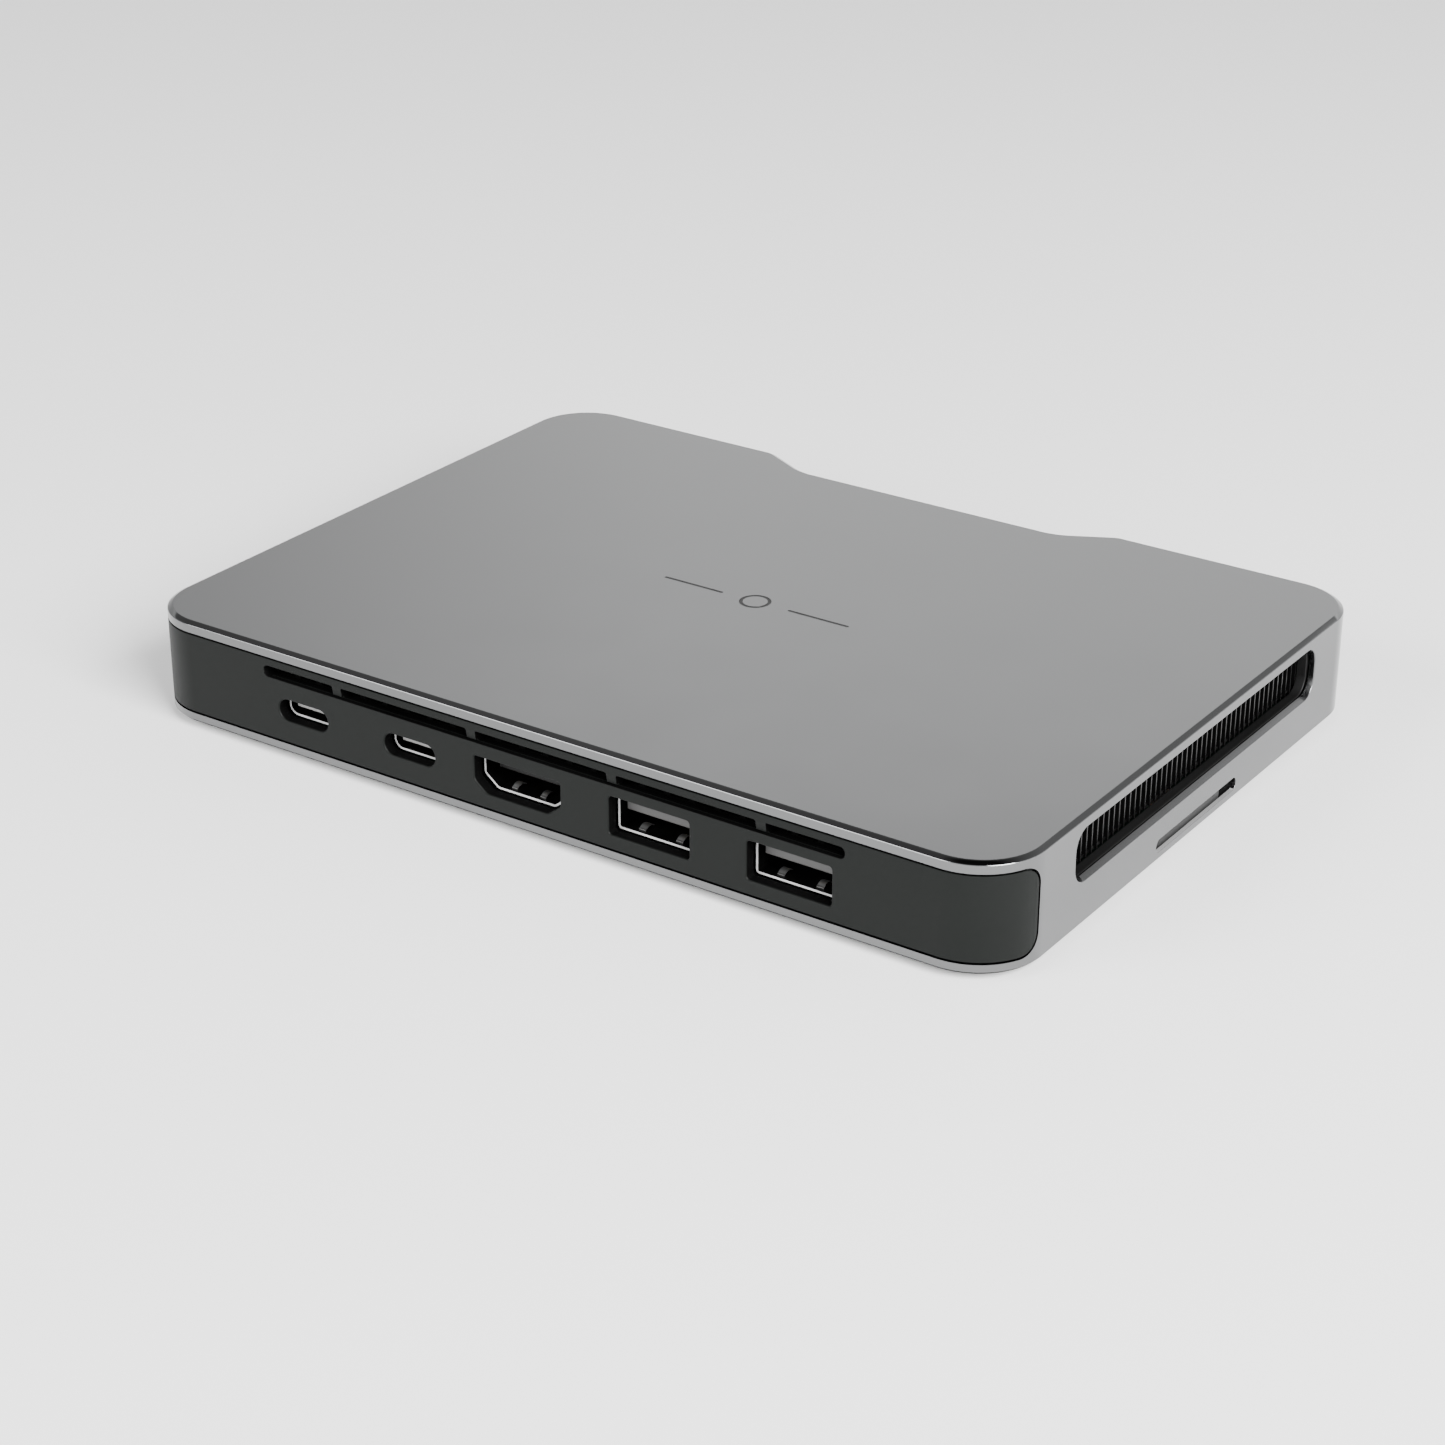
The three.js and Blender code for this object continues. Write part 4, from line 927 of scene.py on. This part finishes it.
def open_tube(piece, node):
    low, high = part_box(node)
    choose(piece, "FACE", facing((0, -1, 0)))
    bpy.ops.mesh.inset(thickness=SHEET, use_even_offset=True)
    bpy.ops.mesh.extrude_region_move(
        TRANSFORM_OT_translate={"value": (0, high.y - low.y - SHEET, 0)})
    done()
    return soften(piece, RIM, lambda a, b: max(a.y, b.y) < low.y + NEAR, 2)


def leaf(x, wall_z, start, wide, long, bow):
    """bow is how far its middle stands off the wall: up from a floor, down if it is negative."""
    side = math.copysign(LEAF_T, bow)
    stub = long / LEAF_STEPS / 4
    piece = block("leaf", (x - wide / 2, start, min(wall_z, wall_z + side)),
                  (x + wide / 2, start + stub, max(wall_z, wall_z + side)))
    for i in range(LEAF_STEPS):
        rise = bow * (math.sin(math.pi * (i + 1) / LEAF_STEPS) - math.sin(math.pi * i / LEAF_STEPS))
        end = start + stub + i * long / LEAF_STEPS
        choose(piece, "FACE", facing((0, 1, 0), lambda c: abs(c.y - end) < NEAR))
        bpy.ops.mesh.extrude_region_move(
            TRANSFORM_OT_translate={"value": (0, long / LEAF_STEPS, rise)})
        done()
    return piece


def paint_tube_light_and_shade(tube, node, leaf_places=()):
    """Paints light and shade on a tube: a painted highlight on the sheet's front edge, painted half
    shade on its leaves, and painted shade everywhere else.
    """
    low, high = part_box(node)
    middle = (low.x + high.x) / 2

    def on_leaf(centre):
        return (FACE_Y + LEAF_START - NEAR < centre.y < FACE_Y + LEAF_START + 2 * LEAF_LONG
                and any(abs(centre.x - middle - across) < wide / 2 + NEAR
                        for across, wide in leaf_places))
    paint(tube, shaded_metal,
          lambda centre, normal: centre.y > low.y + 2 * RIM and not on_leaf(centre))
    paint(tube, rim_painted_highlight, lambda centre, normal: centre.y < low.y + 2 * RIM)
    if leaf_places:
        paint(tube, leaf_painted_shade, lambda centre, normal: on_leaf(centre))


print(f"sheet {SHEET / MM:.1f} mm, leaves {LEAF_T / MM:.2f} mm")

# %% The two small ports
for i in (1, 2):
    node = f"usb_c_shell_{i}"
    low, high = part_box(node)
    tube = block(f"usb_c_shell_skin_{i}", low, high)
    soften(tube, ROUND_END * (high.z - low.z), along(Y), 14)
    put_on(open_tube(tube, node), plated_steel, CHASSIS, "plated_steel", node)
    paint_tube_light_and_shade(tube, node)

# %% The two tall ports and the video port
TALL_SHELL_R = 0.5 * MM
USB_A_LEAVES = [(-3.1 * MM, 1.1 * MM), (3.0 * MM, 1.1 * MM)]  # place across, width
VIDEO_LEAVES = [(-2.7 * MM, 0.95 * MM), (2.2 * MM, 0.95 * MM)]


def with_leaves(tube, node, places):
    low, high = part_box(node)
    middle = (low.x + high.x) / 2
    parts = [open_tube(tube, node)]
    name = tube.name
    for across, wide in places:
        for wall_z, bow in ((low.z + SHEET - NEAR, LEAF_BOW), (high.z - SHEET + NEAR, -LEAF_BOW)):
            parts.append(leaf(middle + across, wall_z, FACE_Y + LEAF_START, wide, LEAF_LONG, bow))
    return gather(name, parts)


for i in (1, 2):
    node = f"usb_a_shell_{i}"
    tube = block(f"usb_a_shell_skin_{i}", *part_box(node))
    soften(tube, TALL_SHELL_R, along(Y), 6)
    put_on(with_leaves(tube, node, USB_A_LEAVES), plated_steel, CHASSIS, "plated_steel", node)
    paint_tube_light_and_shade(tube, node, USB_A_LEAVES)
tube = video_block("hdmi_shell_skin", *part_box("hdmi_shell"), VIDEO_R)
put_on(with_leaves(tube, "hdmi_shell", VIDEO_LEAVES), plated_steel, CHASSIS, "plated_steel",
       "hdmi_shell")
paint_tube_light_and_shade(tube, "hdmi_shell", VIDEO_LEAVES)

# %% [markdown]
# ## Contact tongues
#
# Inside each shell a plastic tongue carries the contacts. The tongue's nose is rounded so that the
# plug finds its way, and the gold contacts lie almost flush on it. One contact is shaped and then
# copied along the row.

# %% How to make a tongue and a row of contacts
TONGUE_NOSE = 0.18 * MM
NOSE_SHOWN = 2 * MM  # further in, a tongue is painted black
CONTACT_T = 0.1 * MM
CONTACT_PROUD = 0.03 * MM
TONGUES = {  # in mm: wide, thick, depth of the seat, behind the shell's front, above its middle
    "usb_c": (6.7, 0.7, 1.6, 0.4, 0),
    "usb_a": (11.1, 1.84, 3, 0.7, 0.95),
    "hdmi": (11.4, 0.8, 2, 1.3, 0.4),
}
CONTACTS = {  # in mm: pitch, width, behind the tongue's nose, length
    "usb_c": (0.5, 0.26, 0.35, 3.4),
    "usb_a": (2.2, 1.1, 1.2, 6.5),
    "hdmi": (1.0, 0.5, 0.5, 4),
}


def tongue(kind, number=""):
    """Makes the tongue with its seat, and tells where the middle of its nose is."""
    wide, thick, seat_deep, behind, lift = (size * MM for size in TONGUES[kind])
    mouth_low, mouth_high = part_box(f"{kind}_shell{number}")
    low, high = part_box(f"{kind}_tongue{number}")
    x, y, z = (low.x + high.x) / 2, mouth_low.y + behind, (mouth_low.z + mouth_high.z) / 2 + lift
    bar = block("bar", (x - wide / 2, y, z - thick / 2),
                (x + wide / 2, high.y - SHEET, z + thick / 2))
    soften(bar, TONGUE_NOSE, lambda a, b: max(a.y, b.y) < y + NEAR, 3)
    seat = block("seat", (low.x + SHEET, high.y - seat_deep, low.z + SHEET),
                 (high.x - SHEET, high.y, high.z - SHEET))
    soften(seat, SHEET, along(Y), 4)
    piece = gather(f"{kind}_tongue_skin{number}", [bar, seat])
    put_on(piece, tongue_plastic, CHASSIS, "contact_plastic", f"{kind}_tongue{number}")
    # painted shade: the tongue further in than NOSE_SHOWN is painted black
    paint(piece, painted_shade_black, lambda centre, normal: centre.y > y + NOSE_SHOWN)
    return piece, (x, y, z)


def contact_row(kind, name, count, side, nose):
    """side is 1 for contacts on top of the tongue and -1 for contacts under it."""
    pitch, wide, behind, long = (size * MM for size in CONTACTS[kind])
    x = nose[0] - pitch * (count - 1) / 2
    y = nose[1] + behind
    face_z = nose[2] + side * TONGUES[kind][1] * MM / 2
    low_z, high_z = sorted((face_z - side * (CONTACT_T - CONTACT_PROUD),
                            face_z + side * CONTACT_PROUD))
    outer_z = face_z + side * CONTACT_PROUD
    strip = block("contact", (x - wide / 2, y, low_z), (x + wide / 2, y + long, high_z))
    soften(strip, CONTACT_PROUD / 2, lambda a, b: abs((a.z + b.z) / 2 - outer_z) < NEAR / 2, 2)
    strips = [strip] + [another(strip, (pitch * i, 0, 0)) for i in range(1, count)]
    return put_on(gather(name, strips), contact_gold, CHASSIS, "plated_steel")


print("kinds of tongue:", ", ".join(TONGUES))

# %% Fit the tongues
for i in (1, 2):
    small, nose = tongue("usb_c", f"_{i}")
    # painted highlight: the small tongue's nose is painted pale
    paint(small, tongue_nose_painted_highlight, lambda centre, normal: centre.y < nose[1] + TONGUE_NOSE)
    for side, word in ((1, "upper"), (-1, "lower")):
        contact_row("usb_c", f"usb_c_contacts_{word}_{i}", 12, side, nose)
    nose = tongue("usb_a", f"_{i}")[1]
    contact_row("usb_a", f"usb_a_contacts_{i}", 4, -1, nose)
video, nose = tongue("hdmi")
paint(video, black_plastic, lambda centre, normal: centre.y < nose[1] + NOSE_SHOWN)
for side, word, count in ((1, "upper", 10), (-1, "lower", 9)):
    contact_row("hdmi", f"hdmi_contacts_{word}", count, side, nose)

# %% [markdown]
# ## The exhaust
#
# A black frame lines the mouth from inside, and the fins stand behind it. Fins like these are
# stamped with a short hem at the top and the bottom, and the hems hook into a comb. One fin is
# made with its hems and with the step that clears the heat pipe, and an array repeats it.

# %% The frame
FRAME_CORNER_R = 0.3 * MM
FRAME_LIP = 0.12 * MM
FRAME_DEEP = 5 * MM

vent_frame = block("vent_frame_skin", frame_low, frame_high)
soften(vent_frame, FRAME_CORNER_R, along(X), 3)
carve(vent_frame, hole_tool((frame_high.x, *fin_low.yz), (frame_high.x, *fin_high.yz), INWARDS,
                            VENT_R - VENT_LIP, FRAME_LIP, FRAME_DEEP, 12))
put_on(vent_frame, black_plastic, CHASSIS, "black_plastic", "vent_frame")

# %% The fins
FIN_T = 0.3 * MM
FIN_EDGE = 0.06 * MM
FIN_HEM = 0.4 * MM
FIN_COUNT = 48
fin_pitch = (fin_high.y - fin_low.y - FIN_T) / (FIN_COUNT - 1)
pipe_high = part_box("heat_pipe")[1]
pipe_edge = pipe_high.x + GAP
fin = block("fin_stack_skin", fin_low, (fin_high.x, fin_low.y + FIN_T, fin_high.z))
soften(fin, FIN_EDGE, along(Z, lambda m: m.x > fin_high.x - NEAR), 2)
carve(fin, block("step", (fin_low.x - MM, fin_low.y - MM, fin_low.z - MM),
                 (pipe_edge, fin_low.y + MM, pipe_high.z + GAP)))
hem_end = fin_low.y + fin_pitch + FIN_T / 2
hems = [block("hem", (fin_low.x, fin_low.y + FIN_T / 2, fin_high.z - FIN_HEM),
              (fin_high.x - FIN_T, hem_end, fin_high.z)),
        block("hem", (pipe_edge, fin_low.y + FIN_T / 2, fin_low.z),
              (fin_high.x - FIN_T, hem_end, fin_low.z + FIN_HEM))]
take(gather("fin_stack_skin", [fin] + hems))
bpy.ops.object.modifier_add(type="ARRAY")
row = fin.modifiers[-1]
row.count = FIN_COUNT
row.use_relative_offset = False
row.use_constant_offset = True
row.constant_offset_displace = (0, fin_pitch, 0)
bpy.ops.object.modifier_apply(modifier=row.name)
choose(fin, "VERT", lambda p: p.y > fin_high.y)
bpy.ops.mesh.delete(type="VERT")
done()
put_on(fin, fin_metal, CHASSIS, "fin_metal", "fin_stack")
# painted shade: the fins' sides are painted black, so the gaps between the fins read dark
paint(fin, painted_shade_black, lambda centre, normal: abs(normal.y) > LEVEL)

# %% [markdown]
# ## Power button and status light
#
# The slim slot holds one long pill that is really two parts: the metal button, and at its back end
# a lens for the status light, near black and almost unreflecting as painted shade for the pill's
# dark back end. Both have a flange behind the wall so that they can't fall out.
# The pill is shaped once, its rim rounded over in small insets, and each part is a copy cut off
# on its own side of the joint. The button rides on its own body, because it travels.

# %% Shape the pill and part it
button_low, button_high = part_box("power_button")
light_low, light_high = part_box("status_light")
PILL_RIM = 0.08 * MM
FLANGE_T, FLANGE_R = 0.8 * MM, 0.25 * MM


def pill_with_flange(name):
    half = Vector((0, BUTTON_W / 2 - BUTTON_GAP, BUTTON_H / 2 - BUTTON_GAP))
    low, high = BUTTON_MIDDLE - half, BUTTON_MIDDLE + half
    low.x, high.x = button_low.x, button_high.x - PILL_RIM
    face = block(name, low, high)
    soften(face, ROUND_END * (high.z - low.z), along(X), 12)
    choose(face, "FACE", facing((1, 0, 0)))
    for deeper, inwards in lip_profile(PILL_RIM):
        bpy.ops.mesh.inset(thickness=inwards, depth=deeper, use_even_offset=True)
    done()
    flange = block("flange", button_low,
                   (button_low.x + FLANGE_T, light_high.y, button_high.z))
    soften(flange, FLANGE_R, along(X), 4)
    return gather(name, [face, flange])


def keep_side(piece, y, side):
    choose(piece, "FACE", lambda centre, normal: True)
    bpy.ops.mesh.bisect(plane_co=(0, y, 0), plane_no=(0, side, 0), use_fill=True, clear_inner=True)
    done()
    return piece


button = keep_side(pill_with_flange("power_button_skin"), button_high.y, -1)
put_on(button, button_metal, "power_button", "button_metal", "power_button")
# painted shade: the lens at the pill's back end
lens = keep_side(pill_with_flange("status_light_skin"), light_low.y, 1)
put_on(lens, light_lens, CHASSIS, "light_lens", "status_light")

# %% [markdown]
# ## The underside
#
# A thin cover closes the case from below. It follows the inside of the shell, has a shallow seat
# for each rubber foot and a sunk hole for each screw. The feet are soft pads with a round plan and
# a rolled edge, and the screws have a flat head with a six-sided socket.

# %% The bottom cover
cover_low, cover_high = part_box("bottom_cover")
FOOT_SEAT = 0.5 * MM
SCREW_SUNK = 0.85 * MM
HEAD_CLEARANCE = 0.2 * MM
COVER_LIP = 0.1 * MM
UPWARDS = (0, 0, 1)

cover = plan_block("bottom_cover_skin", BEZEL_T + GAP + BACKING + GAP, cover_low.z, cover_high.z)
wide_part = plan_block("wide_part", WALL + GAP, cover_low.z, cover_high.z)
choose(wide_part, "FACE", lambda centre, normal: True)
bpy.ops.mesh.bisect(plane_co=(0, bezel_end + 2 * GAP + BACKING, 0), plane_no=(0, 1, 0),
                    use_fill=True, clear_inner=True)
done()
carve(cover, wide_part, "UNION")
print("cover:", len(cover.data.polygons), "faces")

# %% Seats for the feet and holes for the screws
def seat_in_cover(node, clearance, deep, sides):
    """A hole with round ends in the cover's underside, around a node."""
    low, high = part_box(node)
    grown = Vector((clearance, clearance, 0))
    low, high = low - grown, high + grown
    low.z = high.z = cover_low.z
    radius = ROUND_END * (high.y - low.y)
    carve(cover, hole_tool(low, high, UPWARDS, radius, COVER_LIP, deep, sides))


for i in range(1, 5):
    seat_in_cover(f"foot_{i}", GAP, FOOT_SEAT, 10)
    seat_in_cover(f"cover_screw_{i}", HEAD_CLEARANCE, SCREW_SUNK, 12)
put_on(cover, cover_metal, CHASSIS, "cover_metal", "bottom_cover")

# %% The feet
FOOT_ROLL = 0.45 * MM

for i in range(1, 5):
    low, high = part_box(f"foot_{i}")
    pad = block(f"foot_skin_{i}", (low.x, low.y, low.z + FOOT_ROLL), high)
    soften(pad, ROUND_END * (high.y - low.y), along(Z), 12)
    choose(pad, "FACE", facing((0, 0, -1)))
    for deeper, inwards in lip_profile(FOOT_ROLL):
        bpy.ops.mesh.inset(thickness=inwards, depth=deeper, use_even_offset=True)
    done()
    put_on(pad, rubber_foot, CHASSIS, "rubber_foot", f"foot_{i}")

# %% The cover's screws
HEAD_R, HEAD_T, HEAD_EDGE = 1.9 * MM, 0.75 * MM, 0.12 * MM
SHANK_R, SHANK_TIP = 0.88 * MM, 0.2 * MM
SOCKET_R, SOCKET_FLOOR = 0.75 * MM, 0.2 * MM


def round_bar(name, at, radius, low_z, high_z, sides=32):
    deselect()
    bpy.ops.mesh.primitive_cylinder_add(vertices=sides, radius=radius, depth=high_z - low_z,
                                        location=(at.x, at.y, (low_z + high_z) / 2))
    piece = bpy.context.object
    piece.name = name
    return settle(piece)


for i in range(1, 5):
    low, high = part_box(f"cover_screw_{i}")
    at = (low + high) / 2
    head = round_bar(f"cover_screw_skin_{i}", at, HEAD_R, low.z, low.z + HEAD_T)
    soften(head, HEAD_EDGE, lambda a, b: max(a.z, b.z) < low.z + NEAR, 3)
    carve(head, round_bar("socket", at, SOCKET_R, low.z - MM, low.z + HEAD_T - SOCKET_FLOOR, 6))
    shank = round_bar("shank", at, SHANK_R, low.z + HEAD_T - NEAR, high.z, 20)
    soften(shank, SHANK_TIP, lambda a, b: min(a.z, b.z) > high.z - NEAR, 2)
    put_on(gather(f"cover_screw_skin_{i}", [head, shank]), steel_part, CHASSIS, "steel_part",
           f"cover_screw_{i}")
